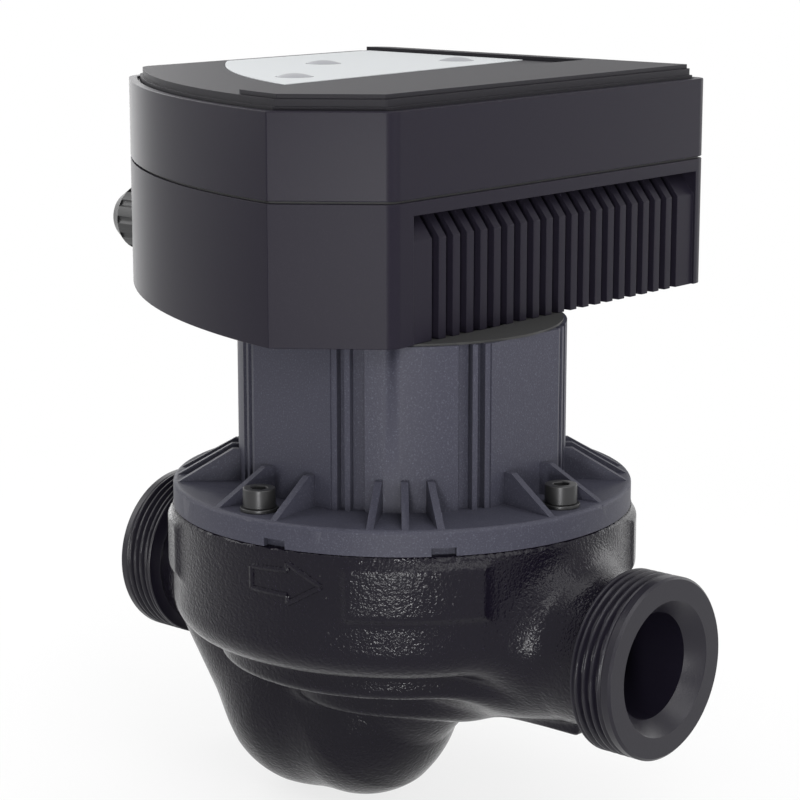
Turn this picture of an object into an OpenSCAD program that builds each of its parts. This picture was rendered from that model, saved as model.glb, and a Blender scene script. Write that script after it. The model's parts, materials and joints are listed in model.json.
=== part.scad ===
// Wet rotor circulation pump with union ports, fluted motor and finned electronics head.
// Millimetres. The origin is the centre of the inlet sealing face, +X runs along the flow,
// +Z runs up the shaft. Everything but the origin shift is drawn about the shaft axis.

/* [Pipe ports] */
// Face to face length between the two unions
port_span = 180; // [172:1:200]
// Outside diameter of the union thread, G 1 1/2
thread_d = 47.8; // [46:0.1:50]
// Pitch of the union thread, eleven turns per inch
thread_pitch = 2.309; // [2:0.001:2.6]
// Depth of a thread groove
thread_depth = 1.4; // [1:0.1:1.5]
// Thread grooves that show on each union
thread_grooves = 4; // [3:1:4]
// Plain rim in front of the first groove
thread_rim = 2.8; // [2.4:0.1:3.2]
// Chamfer round the sealing face
face_chamfer = 0.6; // [0.3:0.1:1]
// Diameter of the water passage
bore_d = 28; // [24:0.5:29]
// Diameter of the cone in the sealing face
recess_d = 35.2; // [31:0.1:38]
// Depth of the cone in the sealing face
recess_depth = 4.4; // [3:0.1:6]
// Outside diameter of the neck behind the thread
neck_d = 39; // [37:0.5:41]

/* [Pump casing] */
// Thickness of the casing wall from the register to the middle of a flange screw
screw_wall = 5.2; // [5:0.1:6]
// Thickness of the casing wall outside the middle of a flange screw
screw_edge = 7.6; // [6:0.1:9]
// Height of the casing's top face over the port axis
casing_top = 30.2; // [29:0.1:33]
// Radius of the round shoulder under the casing wall
shoulder_r = 9; // [6:0.5:11]
// Depth of the shoulder's underside below the port axis
shoulder_drop = 4; // [2:0.5:6]
// Step in from the casing's wall to the lower tier's
tier_step = 12.5; // [10:0.5:14]
// Depth of the lower tier's underside below the port axis
tier_drop = 12; // [11:0.5:14]
// Diameter of the boss round the impeller eye
boss_d = 62; // [58:1:68]
// Depth of the boss's underside below the port axis
boss_drop = 23.6; // [22:0.1:25]
// Rounding of the tier and boss edges
edge_r = 2.4; // [1:0.1:3]
// Distance from the shaft at which the inlet passage starts to dive
dive_x = 64; // [62:0.5:66]
// Distance from the shaft to the end of the dive
turn_x = 44; // [42:0.5:46]
// Depth of the end of the dive below the port axis
turn_drop = 28; // [26:0.5:30]
// Radius of the passage at the end of the dive
turn_r = 12.5; // [11:0.1:13]
// Distance from the shaft to the lowest bend
belly_x = 14; // [12:0.5:17]
// Depth of the lowest bend's centre below the port axis
belly_drop = 33; // [31:0.5:34]
// Radius of the passage at the lowest bend
belly_r = 13.5; // [12:0.1:14]
// Depth of the bend under the impeller eye below the port axis
eye_drop = 24; // [22:0.5:26]
// Distance from the shaft at which the casting round the inlet starts to dive
shell_dive_x = 62; // [59:0.5:63]
// Depth of that place below the port axis
shell_dive_drop = 3; // [0:0.5:4]
// Outside radius of the casting at that place
shell_dive_r = 22.4; // [21:0.2:22.8]
// Distance from the shaft to the outer side of the belly
belly_out_x = 30.5; // [28:0.5:32]
// Depth of the outer side of the belly below the port axis
belly_out_drop = 30.3; // [29:0.1:32]
// Outside radius at the outer side of the belly
belly_out_r = 28.5; // [26:0.5:30]
// Distance from the shaft to the inner side of the belly
belly_in_x = 13.7; // [12:0.1:16]
// Depth of the inner side of the belly below the port axis
belly_in_drop = 31.2; // [29:0.1:33]
// Outside radius at the inner side of the belly
belly_in_r = 26; // [23:0.5:27]
// Outside radius of the casting under the impeller eye
eye_r = 20.6; // [19.6:0.2:22]
// Depth of the casting's bend under the impeller eye below the port axis
shell_eye_drop = 21; // [20:0.5:23]
// Outside diameter of the outlet neck where it leaves the casing
neck_root_d = 48; // [44:0.5:52]
// Distance from the shaft at which the outlet neck starts to narrow
neck_root_x = 34; // [30:1:40]
// Distance from the shaft at which the outlet neck reaches its small diameter
neck_end_x = 63; // [58:1:66]
// Height of the bearing plate's ledge over the port axis
ledge_z = 18; // [17:0.5:20]
// Diameter of the pump chamber under the bearing plate
chamber_d = 74; // [70:1:77]
// Depth of the chamber floor below the port axis
chamber_drop = 7; // [6.5:0.1:8]
// Height of the spiral's floor over the port axis
spiral_floor = 0.5; // [0:0.1:2]
// Height of the spiral's roof over the port axis
spiral_top = 13; // [11:0.5:14]
// Spiral radius at the tongue
spiral_r0 = 39; // [37:0.5:42]
// Spiral radius at the outlet
spiral_r1 = 55; // [52:0.5:56]
// Distance from the shaft at which the outlet bore starts
outlet_start = 52; // [50:0.5:53]
// Thickness of the web under the outlet neck
web_t = 6; // [4:0.5:8]
// Depth of the web below the port axis
web_drop = 23.4; // [22:0.2:25]
// Thickness of the four pads cast on the casing's wall
pad_t = 1.6; // [0.3:0.1:2]
// Height of the pads' lower edge over the port axis
pad_z = 13.5; // [10:0.5:16]
// Height of the pads
pad_h = 14; // [8:1:15]
// Angle that a pad covers
pad_span = 30; // [20:1:40]

/* [Hydraulics] */
// Outside diameter of the impeller
impeller_d = 66; // [58:1:70]
// Thickness of each impeller shroud
shroud_t = 1.6; // [1.2:0.1:2.2]
// Clear height between the impeller shrouds
vane_h = 8; // [6:0.5:9]
// Number of impeller vanes
vane_count = 6; // [4:1:8]
// Thickness of a vane
vane_t = 1.8; // [1.2:0.1:2.4]
// Outside diameter of the impeller's eye collar
eye_collar_d = 31; // [29:0.5:32]
// Bore of the impeller's eye
eye_d = 27; // [24:0.5:28]
// Outside diameter of the wear ring
wear_ring_d = 37; // [35:0.5:40]
// Height of the wear ring
wear_ring_h = 6; // [4:0.5:6.5]
// Diameter of the shaft
shaft_d = 12; // [10:0.5:14]
// Outside diameter of both bearing bushes
bush_d = 20; // [18:0.5:22]
// Length of the front bearing bush
front_bush_h = 12; // [9:0.5:13]
// Thickness of the bearing plate
plate_t = 3; // [2:0.5:3.5]
// Height of the thrust ring
thrust_h = 3; // [2:0.5:3.5]
// Outside diameter of the rotor
rotor_d = 44; // [40:0.5:44.5]
// Length of the rotor
rotor_h = 27; // [22:0.5:28]
// Water gap between the rotor and its can
rotor_gap = 1.3; // [1.1:0.1:1.6]
// Wall of the rotor can
can_t = 0.7; // [0.5:0.1:1]
// Gap between the can's flange and the casing's register
can_flange_gap = 6; // [5.5:0.1:7]
// Length of the rear bearing bush
rear_bush_h = 8; // [6:0.5:8.5]

/* [Motor] */
// Step in from the casing's wall to the motor flange's
flange_step = 0.3; // [0.2:0.1:0.8]
// Thickness of the motor flange
flange_t = 6.8; // [6:0.1:8]
// Rounding of the flange's upper edge
flange_edge_r = 1.2; // [0.5:0.1:2]
// Depth of the spigot under the flange
spigot_h = 5.7; // [5:0.1:6.5]
// Height of the motor body's top over the port axis
motor_top = 80.4; // [80:0.1:84]
// Room for the stator between the can and the motor housing
stator_room = 17; // [16:0.1:17.5]
// Wall of the motor housing at the bottom of the flutes
motor_wall = 1.5; // [1.2:0.1:2]
// Height of the flat panels over the bottom of the flutes
flat_step = 0.7; // [0.4:0.1:1]
// Height of the rounded corner panels over the bottom of the flutes
corner_step = 2.2; // [1.8:0.1:2.8]
// Distance from the corner panels to the middle of a flange screw
screw_room = 10.7; // [10.2:0.1:12]
// Width of a flat panel
flat_panel_w = 27.6; // [24:0.2:28.4]
// Thickness of the motor housing's top plate
motor_lid_t = 4.6; // [4:0.1:6]
// Height of a flange rib where it meets the body
rib_h = 8.6; // [6:0.2:10]
// Thickness of a flange rib
rib_t = 1.9; // [1.4:0.1:2.6]
// Angle between the three ribs at each corner panel
rib_step = 8.4; // [7:0.2:11]
// Angle by which the middle one of them lies off the corner panel's middle
rib_lean = 2.4; // [0:0.2:4]
// Angle between a flange screw and the rib on each side of it
screw_rib_step = 9.6; // [9.4:0.1:12]
// Length of the stator core
core_h = 24; // [20:0.5:24]
// Number of stator slots
slot_count = 12; // [6:3:12]
// Height by which the windings stand out of the core
winding_over = 5; // [3:0.5:5.5]
// Nominal diameter of the flange screws
screw_d = 5; // [4:1:5]

/* [Electronics head] */
// Height of the head's underside over the port axis
head_bottom = 81; // [80.8:0.1:85]
// Height of the lower shell
base_h = 36.6; // [34:0.2:40]
// Shadow gap between the lower shell and the cover
split_gap = 0.6; // [0.4:0.1:1]
// Height of the cover's rim
cover_h = 22.4; // [21:0.2:26]
// Wall of the lower shell and of the cover
head_wall = 3; // [2.5:0.1:3.4]
// Thickness of the lower shell's floor
floor_t = 3; // [2.5:0.1:4]
// Distance from the shaft to the left end of the front chamfer
nose_left = 8; // [4:0.5:10]
// Distance from the shaft to the front of the chamfer's left end
nose_front = 59.5; // [57:0.5:62]
// Distance from the shaft to the finned wall at its front end
fin_wall_front = 33; // [32:0.5:36]
// Distance from the shaft back to the chamfer's right end
nose_back = 39.7; // [38:0.5:42]
// Distance from the shaft to the finned wall at its back end
fin_wall_back = 28; // [27:0.5:31]
// Distance from the shaft to the back wall
head_back = 102; // [100:1:112]
// Distance from the shaft to the far side wall
head_side = 104; // [102:1:112]
// Distance from the shaft to the end of the curved wall, across
curve_end_x = 97; // [96:0.5:99]
// Distance from the shaft to the end of the curved wall, forward
curve_end_y = 10; // [8:0.5:12]
// Radius of the curved wall
curve_r = 210; // [195:1:230]
// Rounding of the head's back corners
back_corner_r = 14; // [12:0.5:16]
// Rounding of the corner at the end of the curved wall
curve_corner_r = 12; // [10:0.5:14]
// Rounding of the corners at the finned wall
fin_corner_r = 5; // [3:0.5:6]
// Number of cooling fins
fin_count = 19; // [15:1:20]
// Thickness of a fin
fin_t = 2.9; // [2.2:0.1:3.2]
// Depth of the gaps between the fins
fin_depth = 9; // [7:0.5:10]
// Depth of the shallow recess that holds the fins
fin_recess = 0.8; // [0.4:0.1:1.2]
// Width of the plain strip at each end of the recess
fin_margin = 11; // [9:0.5:14]
// Distance from the wall's front end to the recess
recess_start = 7.6; // [6:0.2:10]
// Distance from the wall's back end to the recess
recess_end = 6; // [4:0.2:10]
// Height of the lower shell's wall over the recess
recess_lip = 3.6; // [3:0.2:6]
// Height of the slope at the fin tops
fin_slope_h = 6.6; // [4:0.2:8]
// Depth of the slope at the fin tops
fin_slope_d = 5; // [4:0.2:6]
// Thickness of metal behind the fins
sink_t = 4; // [3:0.2:5]

/* [Control panel] */
// Gap between the cover's wall and the top plate
plate_inset = 3.2; // [3.2:0.1:4.5]
// Step between the layers of the top plate
plate_step = 0.8; // [0.4:0.1:1.2]
// Depth of the top plate's seat below the cover's rim
plate_seat = 0.9; // [0.6:0.1:1.4]
// Height of the top plate's lower layer
plate_low_h = 1.7; // [1.2:0.1:2.2]
// Height of the top plate's upper layer
plate_high_h = 1.9; // [1.4:0.1:2.4]
// Height of the raised strip beside and behind the keypad
strip_h = 1.2; // [0.8:0.1:1.6]
// Distance from the shaft to the raised strip
strip_x = 10; // [8:0.5:14]
// Distance from the shaft to the keypad
keypad_x = 23.5; // [21:0.5:26]
// Angle by which the keypad's edge along the finned side leans
keypad_lean = 5.6; // [0:0.1:8]
// Distance from the shaft to the keypad's back edge
keypad_back = 91; // [88:0.5:93]
// Gap between the keypad's back edge and the raised strip
strip_gap = 1.5; // [1:0.5:3]
// Distance between the curved wall and the keypad
keypad_inset = 28; // [24:1:32]
// Distance between the other walls and the keypad
keypad_margin = 8; // [7:0.5:10]
// Thickness of the keypad film
keypad_t = 0.5; // [0.4:0.1:0.8]
// Height of the film over the top plate
keypad_proud = 0.2; // [0.1:0.05:0.3]
// Diameter of a button cap
button_d = 10; // [9:0.5:11]
// Height of a button's crown over the film
button_crown = 0.9; // [0.8:0.1:1.4]
// Travel of a button
button_travel = 0.6; // [0.4:0.1:0.7]
// Diameter of a button's stem
stem_d = 5; // [4:0.5:6]

/* [Cable gland] */
// Distance from the shaft back to the gland
gland_y = 16; // [15:0.5:40]
// Height of the gland over the port axis
gland_z = 95.6; // [95:0.1:101]
// Diameter of the gland's thread
gland_thread_d = 16; // [16:1:20]
// Hexagon of the gland, across corners
gland_hex_d = 22; // [21:0.5:24]
// Thickness of the gland's hexagon
gland_hex_t = 5; // [4:0.5:6]
// Length of the gland's sleeve
gland_sleeve = 9; // [8:0.5:12]
// Outside diameter of the gland's nut
gland_nut_d = 20; // [19.5:0.5:22]
// Length of the gland's nut
gland_nut_h = 16; // [15:0.5:19]
// Bore of the gland's seal, for the cable
cable_bore = 8; // [6:0.5:9]

/* [Hidden] */

// Overrun that lets a cut pass cleanly through a face
over = 1;
// Radial clearance between fixed round parts
fit = 0.05;
// Radial running clearance of the shaft in its bushes
running_fit = 0.03;
// Radial gap between the impeller collar and the wear ring
ring_gap = 0.3;
// Radial clearance round screws and loose parts
loose = 0.25;
// Radial clearance round a button
button_gap = 0.3;

cast_iron_c = [0.07, 0.07, 0.075];
housing_c = [0.29, 0.30, 0.34];
shell_c = [0.17, 0.165, 0.18];
steel_c = [0.62, 0.63, 0.64];
dark_steel_c = [0.22, 0.22, 0.22];
rubber_c = [0.06, 0.06, 0.06];
film_c = [0.86, 0.86, 0.86];
board_c = [0.05, 0.32, 0.16];
copper_c = [0.72, 0.42, 0.2];
plastic_c = [0.85, 0.83, 0.76];

$fn = 96;

// How much the balls at the bends of the inlet stand out of the tubes
joint_swell = 0.4;

// Diameters and radii from the rotor out to the casing
can_d = rotor_d + (rotor_gap + can_t) * 2;
motor_bore_d = can_d + stator_room * 2;
flute_d = motor_bore_d + motor_wall * 2;
flats_w = flute_d + flat_step * 2;
motor_d = flute_d + corner_step * 2;
screw_pitch_r = motor_d / 2 + screw_room;
register_d = (screw_pitch_r - screw_wall) * 2;
casing_d = 2 * (screw_pitch_r + screw_edge);
tier_d = casing_d - tier_step * 2;
flange_d = casing_d - flange_step * 2;
can_flange_d = register_d - can_flange_gap * 2;

// Heights of the hydraulic stack
floor_z = -chamber_drop;
impeller_gap = 0.8;
impeller_z = floor_z + impeller_gap;
vane_z = impeller_z + shroud_t;
hub_h = 2.4;
hub_d = 20;
hub_top = vane_z + vane_h + shroud_t + hub_h;
plate_top = ledge_z + plate_t;
front_bush_z = plate_top + plate_t - front_bush_h / 2;
thrust_gap = 0.3;
thrust_z = front_bush_z + front_bush_h + thrust_gap;
rotor_z = thrust_z + thrust_h;
can_top = motor_top - motor_lid_t - thrust_gap;
rear_bush_z = can_top - can_t - thrust_gap * 2 - rear_bush_h;
shaft_z = vane_z;
shaft_top = rear_bush_z + rear_bush_h;
flange_top = casing_top + flange_t;
spigot_z = casing_top - spigot_h;
core_z = (rotor_z * 2 + rotor_h - core_h) / 2;
insulator_t = 1;
motor_lid_z = motor_top - motor_lid_t;

// Heights of the electronics head
base_top = head_bottom + base_h;
cover_z = base_top + split_gap;
rim_z = cover_z + cover_h;
seat_z = rim_z - plate_seat;
plate_z = seat_z + plate_low_h + plate_high_h;
film_z = plate_z + keypad_proud;
roof_t = 2.6;
roof_z = seat_z - roof_t;
floor_top = head_bottom + floor_t;
board_t = 1.6;
standoff_h = 8;
board_z = floor_top + standoff_h;
board_top = board_z + board_t;

// Screws share these shares of their nominal diameter
head_d_share = 1.7;
head_h_share = 1;
socket_d_share = 0.92;
socket_h_share = 0.6;
washer_d_share = 2;
washer_t = 1;
casing_thread_depth = 11;
small_screw_d = 4;
base_screw_inset = 5;
base_screw_r = motor_bore_d / 2 - base_screw_inset;
base_screw_h = 7.4;
base_screw_angles = [74, 124, 236, 286];

module at_shaft() translate([port_span / 2, 0, 0]) children();

// Repeats a shape at quarter turns
module quarters(start = 0) for (i = [0:3]) rotate([0, 0, start + 90 * i]) children();

// Places the screws that hold the head on the motor
module base_screw_spots() {
    for (a = base_screw_angles) rotate([0, 0, a]) translate([base_screw_r, 0, 0]) children();
}

// Solid of revolution whose profile keeps to one side of the axis
module turned(angle = 360) {
    reach = port_span;
    rotate_extrude(angle = angle)
        intersection() {
            children();
            translate([0, -reach]) square([reach, reach * 2]);
        }
}

// Profile of a disc of radius r from z0 to z1 whose lower edge is rounded by e
module rounded_disc(r, z0, z1, e) {
    square_from([0, z0], [r - e, z1]);
    square_from([0, z0 + e], [r, z1]);
    translate([r - e, z0 + e]) circle(e);
}

module square_from(a, b) translate(a) square([b[0] - a[0], b[1] - a[1]]);

module ring(d_out, d_in, z0, z1) {
    translate([0, 0, z0])
        difference() {
            cylinder(d = d_out, h = z1 - z0);
            translate([0, 0, -over]) cylinder(d = d_in, h = z1 - z0 + over * 2);
        }
}

module rod(d, z0, z1) translate([0, 0, z0]) cylinder(d = d, h = z1 - z0);

// Socket head cap screw whose head sits on height z and whose shank is length long
module cap_screw(d, z, length) {
    head_h = d * head_h_share;
    translate([0, 0, z])
        difference() {
            union() {
                cylinder(d = d * head_d_share, h = head_h);
                translate([0, 0, -length]) cylinder(d = d, h = length + head_h / 2);
            }
            translate([0, 0, head_h * (1 - socket_h_share)])
                cylinder(d = d * socket_d_share, h = head_h, $fn = 6);
        }
}

// Lays a shape that points up +Z along +X or -X of the port axis
module along_x(side = 1) rotate([0, 90 * side, 0]) children();

// Profile of one union, with height zero at its sealing face
thread_len = thread_rim + thread_grooves * thread_pitch;
module union_profile() {
    r = thread_d / 2;
    groove = [for (i = [0:thread_grooves - 1]) let (z = -thread_rim - i * thread_pitch)
        each [[r, z], [r - thread_depth, z - thread_pitch * 0.44],
            [r - thread_depth, z - thread_pitch * 0.56], [r, z - thread_pitch]]];
    polygon(concat([[0, 0], [r - face_chamfer, 0], [r, -face_chamfer]], groove, [[0, -thread_len]]));
}

// Union whose neck reaches in to the distance neck_x from the shaft
module port(side, neck_x) {
    translate([side * port_span / 2, 0, 0]) along_x(side) {
        turned() union_profile();
        translate([0, 0, -port_span / 2 + neck_x])
            cylinder(d = neck_d, h = port_span / 2 - neck_x - thread_len / 2);
    }
}

// Inlet passage: a level run, a dive, and a rise under the impeller eye
inlet_path = [[-dive_x, 0, 0], [-turn_x, 0, -turn_drop], [-belly_x, 0, -belly_drop], [0, 0, -eye_drop]];
inlet_shell = [[-shell_dive_x, 0, -shell_dive_drop], [-belly_out_x, 0, -belly_out_drop],
    [-belly_in_x, 0, -belly_in_drop], [0, 0, -shell_eye_drop]];

// Tube between two points of the XZ plane, with its radius at each
module tube(a, b, r1, r2) {
    run = b - a;
    translate(a) rotate([0, atan2(run[0], run[2]), 0]) cylinder(r1 = r1, r2 = r2, h = norm(run));
}

// Balls of the radii given on a path, with tubes a little slimmer between them
module bent_run(path, radii) {
    last = len(path) - 1;
    for (i = [0:last]) translate(path[i]) sphere(radii[i]);
    for (i = [0:last - 1])
        tube(path[i], path[i + 1], radii[i] - joint_swell, radii[i + 1] - joint_swell);
}

// Spiral chamber, widening from the tongue round to the outlet
tongue_angle = 22;
spiral_steps = 48;
function spiral_point(i) = let (r = spiral_r0 + (spiral_r1 - spiral_r0) * i / spiral_steps,
    a = tongue_angle + 360 * i / spiral_steps) [r * cos(a), r * sin(a)];
module spiral() {
    translate([0, 0, spiral_floor]) linear_extrude(spiral_top - spiral_floor)
        polygon([for (i = [0:spiral_steps]) spiral_point(i)]);
}

module casing_body() {
    turned() {
        rounded_disc(casing_d / 2, -shoulder_drop, casing_top, shoulder_r);
        rounded_disc(tier_d / 2, -tier_drop, 0, edge_r);
        rounded_disc(boss_d / 2, -boss_drop, 0, edge_r);
    }
    quarters(45 - pad_span / 2) turned(pad_span)
        square_from([casing_d / 2 - over, pad_z], [casing_d / 2 + pad_t, pad_z + pad_h]);
}

module casing_water() {
    rod(chamber_d, floor_z, ledge_z + over);
    rod(register_d, ledge_z, casing_top + over);
    spiral();
    rod(wear_ring_d + fit * 2, floor_z - wear_ring_h, 0);
    rod(bore_d, -eye_drop, 0);
    bent_run(inlet_path, [bore_d / 2 + joint_swell, turn_r, belly_r, bore_d / 2 + joint_swell]);
    translate([-port_span / 2, 0, 0]) along_x() cylinder(d = bore_d, h = port_span / 2 - dive_x);
    translate([outlet_start, 0, 0]) along_x() cylinder(d = bore_d, h = port_span / 2 - outlet_start);
    for (side = [-1, 1]) translate([side * port_span / 2, 0, 0]) along_x(side)
        translate([0, 0, -recess_depth])
            cylinder(d1 = bore_d, d2 = recess_d + (recess_d - bore_d) * over / recess_depth,
                h = recess_depth + over);
}

module pump_casing() {
    web_len = neck_end_x - neck_root_x / 2;
    neck_reach = 14;
    color(cast_iron_c) at_shaft() difference() {
        union() {
            casing_body();
            port(-1, neck_end_x - neck_reach);
            port(1, neck_end_x);
            translate([neck_root_x, 0, 0]) along_x()
                cylinder(d1 = neck_root_d, d2 = neck_d, h = neck_end_x - neck_root_x);
            bent_run(inlet_shell, [shell_dive_r, belly_out_r, belly_in_r, eye_r]);
            translate([neck_end_x - web_len, -web_t / 2, -web_drop])
                cube([web_len, web_t, web_drop - shoulder_drop]);
        }
        casing_water();
        quarters() translate([screw_pitch_r, 0, 0])
            rod(screw_d + fit * 2, casing_top - casing_thread_depth, casing_top + over);
    }
}

module wear_ring() {
    color(steel_c) at_shaft()
        ring(wear_ring_d, eye_collar_d + ring_gap * 2, floor_z - wear_ring_h, floor_z);
}

// Camber line of a vane, swept back from the eye to the rim
vane_sweep = 62;
vane_steps = 8;
function vane_point(i, side) = let (t = i / vane_steps,
    r = eye_d / 2 + (impeller_d - eye_d) / 2 * t - (i == vane_steps ? fit : 0),
    a = -vane_sweep * t + side * vane_t / 2 / r * 180 / PI) [r * cos(a), r * sin(a)];

module impeller() {
    hub_r = hub_d / 2;
    color([0.24, 0.25, 0.26]) at_shaft() difference() {
        union() {
            ring(impeller_d, eye_d, impeller_z, vane_z);
            ring(eye_collar_d, eye_d, floor_z - wear_ring_h + impeller_gap, vane_z);
            rod(impeller_d, vane_z + vane_h, vane_z + vane_h + shroud_t);
            rod(hub_d, vane_z + vane_h, hub_top);
            translate([0, 0, vane_z]) cylinder(r1 = shaft_d / 2 + vane_t, r2 = hub_r, h = vane_h);
            translate([0, 0, vane_z]) linear_extrude(vane_h) for (k = [0:vane_count - 1])
                rotate(360 / vane_count * k)
                    polygon([for (s = [-1, 1], i = [0:vane_steps])
                        vane_point(s < 0 ? i : vane_steps - i, s)]);
        }
        rod(shaft_d, vane_z - over, hub_top + over);
    }
}

module bearing_plate() {
    sleeve_wall = 4;
    sleeve_d = bush_d + sleeve_wall * 2;
    relief_count = 4;
    relief_d = 5;
    relief_r = 22;
    color(steel_c) at_shaft() difference() {
        union() {
            rod(register_d - fit * 2, ledge_z, plate_top);
            rod(sleeve_d, front_bush_z, front_bush_z + front_bush_h);
        }
        rod(bush_d + fit * 2, front_bush_z - over, front_bush_z + front_bush_h + over);
        for (k = [0:relief_count - 1]) rotate([0, 0, 360 / relief_count * k + 45])
            translate([relief_r, 0, 0]) rod(relief_d, ledge_z - over, plate_top + over);
    }
}

module bush(z, h) ring(bush_d, shaft_d + running_fit * 2, z, z + h);

module front_bearing() color([0.9, 0.88, 0.84]) at_shaft() bush(front_bush_z, front_bush_h);

module rear_bearing() color([0.2, 0.2, 0.21]) at_shaft() bush(rear_bush_z, rear_bush_h);

module rear_bearing_carrier() {
    carrier_h = rear_bush_h * 0.6;
    web_count = 4;
    slot_d = 4;
    inner_d = can_d - can_t * 2 - fit * 2;
    color(steel_c) at_shaft() difference() {
        ring(inner_d, bush_d + fit * 2, rear_bush_z, rear_bush_z + carrier_h);
        for (k = [0:web_count - 1]) rotate([0, 0, 360 / web_count * k])
            translate([(inner_d + bush_d) / 4, 0, 0])
                rod(slot_d, rear_bush_z - over, rear_bush_z + carrier_h + over);
    }
}

module thrust_ring() {
    color([0.25, 0.25, 0.26]) at_shaft()
        ring(bush_d - fit * 2, shaft_d, thrust_z, thrust_z + thrust_h);
}

module shaft() {
    tip = 0.8;
    color([0.8, 0.8, 0.78]) at_shaft() {
        rod(shaft_d, shaft_z, shaft_top - tip);
        translate([0, 0, shaft_top - tip])
            cylinder(d1 = shaft_d, d2 = shaft_d - tip * 2, h = tip);
    }
}

module rotor() {
    groove_w = 0.8;
    sleeve_d = rotor_d - groove_w * 2;
    color([0.45, 0.46, 0.48]) at_shaft() difference() {
        union() {
            rod(sleeve_d, rotor_z, rotor_z + rotor_h);
            rod(rotor_d, rotor_z + groove_w, rotor_z + rotor_h - groove_w);
        }
        rod(shaft_d, rotor_z - over, rotor_z + rotor_h + over);
    }
}

module rotor_can() {
    color(steel_c) at_shaft() difference() {
        union() {
            rod(can_flange_d, plate_top, plate_top + can_t);
            rod(can_d, plate_top, can_top);
        }
        rod(can_d - can_t * 2, plate_top - over, can_top - can_t);
    }
}

// O-ring of section radius r seated on height z, its centre line at radius c
module o_ring(c, r, z) at_shaft() translate([0, 0, z]) turned() translate([c, r]) circle(r, $fn = 48);

can_seal_z = plate_top + can_t;
can_seal_r = (spigot_z - can_seal_z) / 2 - fit;
module can_seal() color(rubber_c) o_ring(can_flange_d / 2 - can_seal_r, can_seal_r, can_seal_z);

casing_seal_r = (spigot_z - plate_top) / 2 - fit;
module casing_seal() color(rubber_c) o_ring(register_d / 2 - casing_seal_r - fit, casing_seal_r, plate_top);

slot_mouth = 1.2;
stator_bore = can_d + loose * 2;
slot_start = stator_bore / 2 + slot_mouth;
slot_end = motor_bore_d / 2 * 0.86;
slot_w = 0.5 * PI * stator_bore / slot_count;
leg_start = slot_start + slot_mouth;
leg_end = slot_end - loose;
coil_gap = 0.6;
coil_gap_angle = 0.8;
module core_outline() {
    difference() {
        circle(d = motor_bore_d - fit * 2);
        circle(d = stator_bore);
        for (k = [0:slot_count - 1]) rotate(360 / slot_count * (k + 0.5)) {
            translate([slot_start, -slot_w / 2]) square([slot_end - slot_start, slot_w]);
            translate([stator_bore / 2 - slot_mouth, -slot_mouth / 2]) square([slot_mouth * 3, slot_mouth]);
        }
    }
}

module stator_core() {
    color([0.5, 0.51, 0.53]) at_shaft() translate([0, 0, core_z]) linear_extrude(core_h) core_outline();
}

module winding_insulators() {
    color(plastic_c) at_shaft() for (z = [core_z - insulator_t, core_z + core_h])
        translate([0, 0, z]) linear_extrude(insulator_t) core_outline();
}

// Half of a slot, on the side of the tooth it serves
module coil_leg(side) {
    rotate(180 / slot_count * side)
        translate([leg_start, side > 0 ? -slot_w / 2 + fit : coil_gap / 2])
            square([leg_end - leg_start, slot_w / 2 - fit - coil_gap / 2]);
}

// One coil round each stator tooth, from the bore out to the slot floor
module stator_windings() {
    half = 180 / slot_count - coil_gap_angle;
    z0 = core_z - insulator_t;
    z1 = core_z + core_h + insulator_t;
    color(copper_c) at_shaft() for (k = [0:slot_count - 1]) rotate([0, 0, 360 / slot_count * k]) {
        translate([0, 0, z0 - winding_over]) linear_extrude(z1 - z0 + winding_over * 2)
            for (side = [-1, 1]) coil_leg(side);
        for (z = [z0 - winding_over, z1]) translate([0, 0, z]) linear_extrude(winding_over) intersection() {
            difference() {
                circle(leg_end);
                circle(leg_start);
            }
            polygon([[0, 0], motor_bore_d * [cos(half), -sin(half)], motor_bore_d * [cos(half), sin(half)]]);
        }
    }
}

// Cross section of the motor body: round core, flat panels, corner panels and ribs
flute_rib_t = 1.5;
corner_panel_angle = 15.6;
inner_rib_angle = 21.4;
outer_rib_angle = 26;
module motor_outline() {
    circle(d = flute_d);
    for (k = [0:1]) rotate(90 * k) square([flats_w, flat_panel_w], center = true);
    for (k = [0:3]) rotate(45 + 90 * k) {
        intersection() {
            circle(d = motor_d);
            polygon([[0, 0],
                for (s = [-1, 1]) motor_d * [cos(corner_panel_angle), s * sin(corner_panel_angle)]]);
        }
        intersection() {
            circle(d = motor_d + flute_rib_t / 2);
            for (a = [-outer_rib_angle, -inner_rib_angle, inner_rib_angle, outer_rib_angle])
                rotate(a) translate([0, -flute_rib_t / 2]) square([motor_d, flute_rib_t]);
        }
    }
}

// Tapered rib that runs from the motor body out along the flange
module flange_rib() {
    r0 = flute_d / 2 - over;
    r1 = flange_d / 2 - flange_edge_r;
    translate([0, rib_t / 2, 0]) rotate([90, 0, 0]) linear_extrude(rib_t)
        polygon([[r0, flange_top - over], [r0, flange_top + rib_h], [motor_d / 2 + rib_t, flange_top + rib_h],
            [r1, flange_top], [r1, flange_top - over]]);
}

drain_w = 6.4;
drain_h = 2.2;
drain_angles = [38.5, 79.5];
lead_slot_w = 9;
lead_slot_len = 15;
lead_slot = [lead_slot_w, lead_slot_len];
lead_inset = 12;
lead_x = motor_bore_d / 2 - lead_inset;
lead_room = 3;

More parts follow.
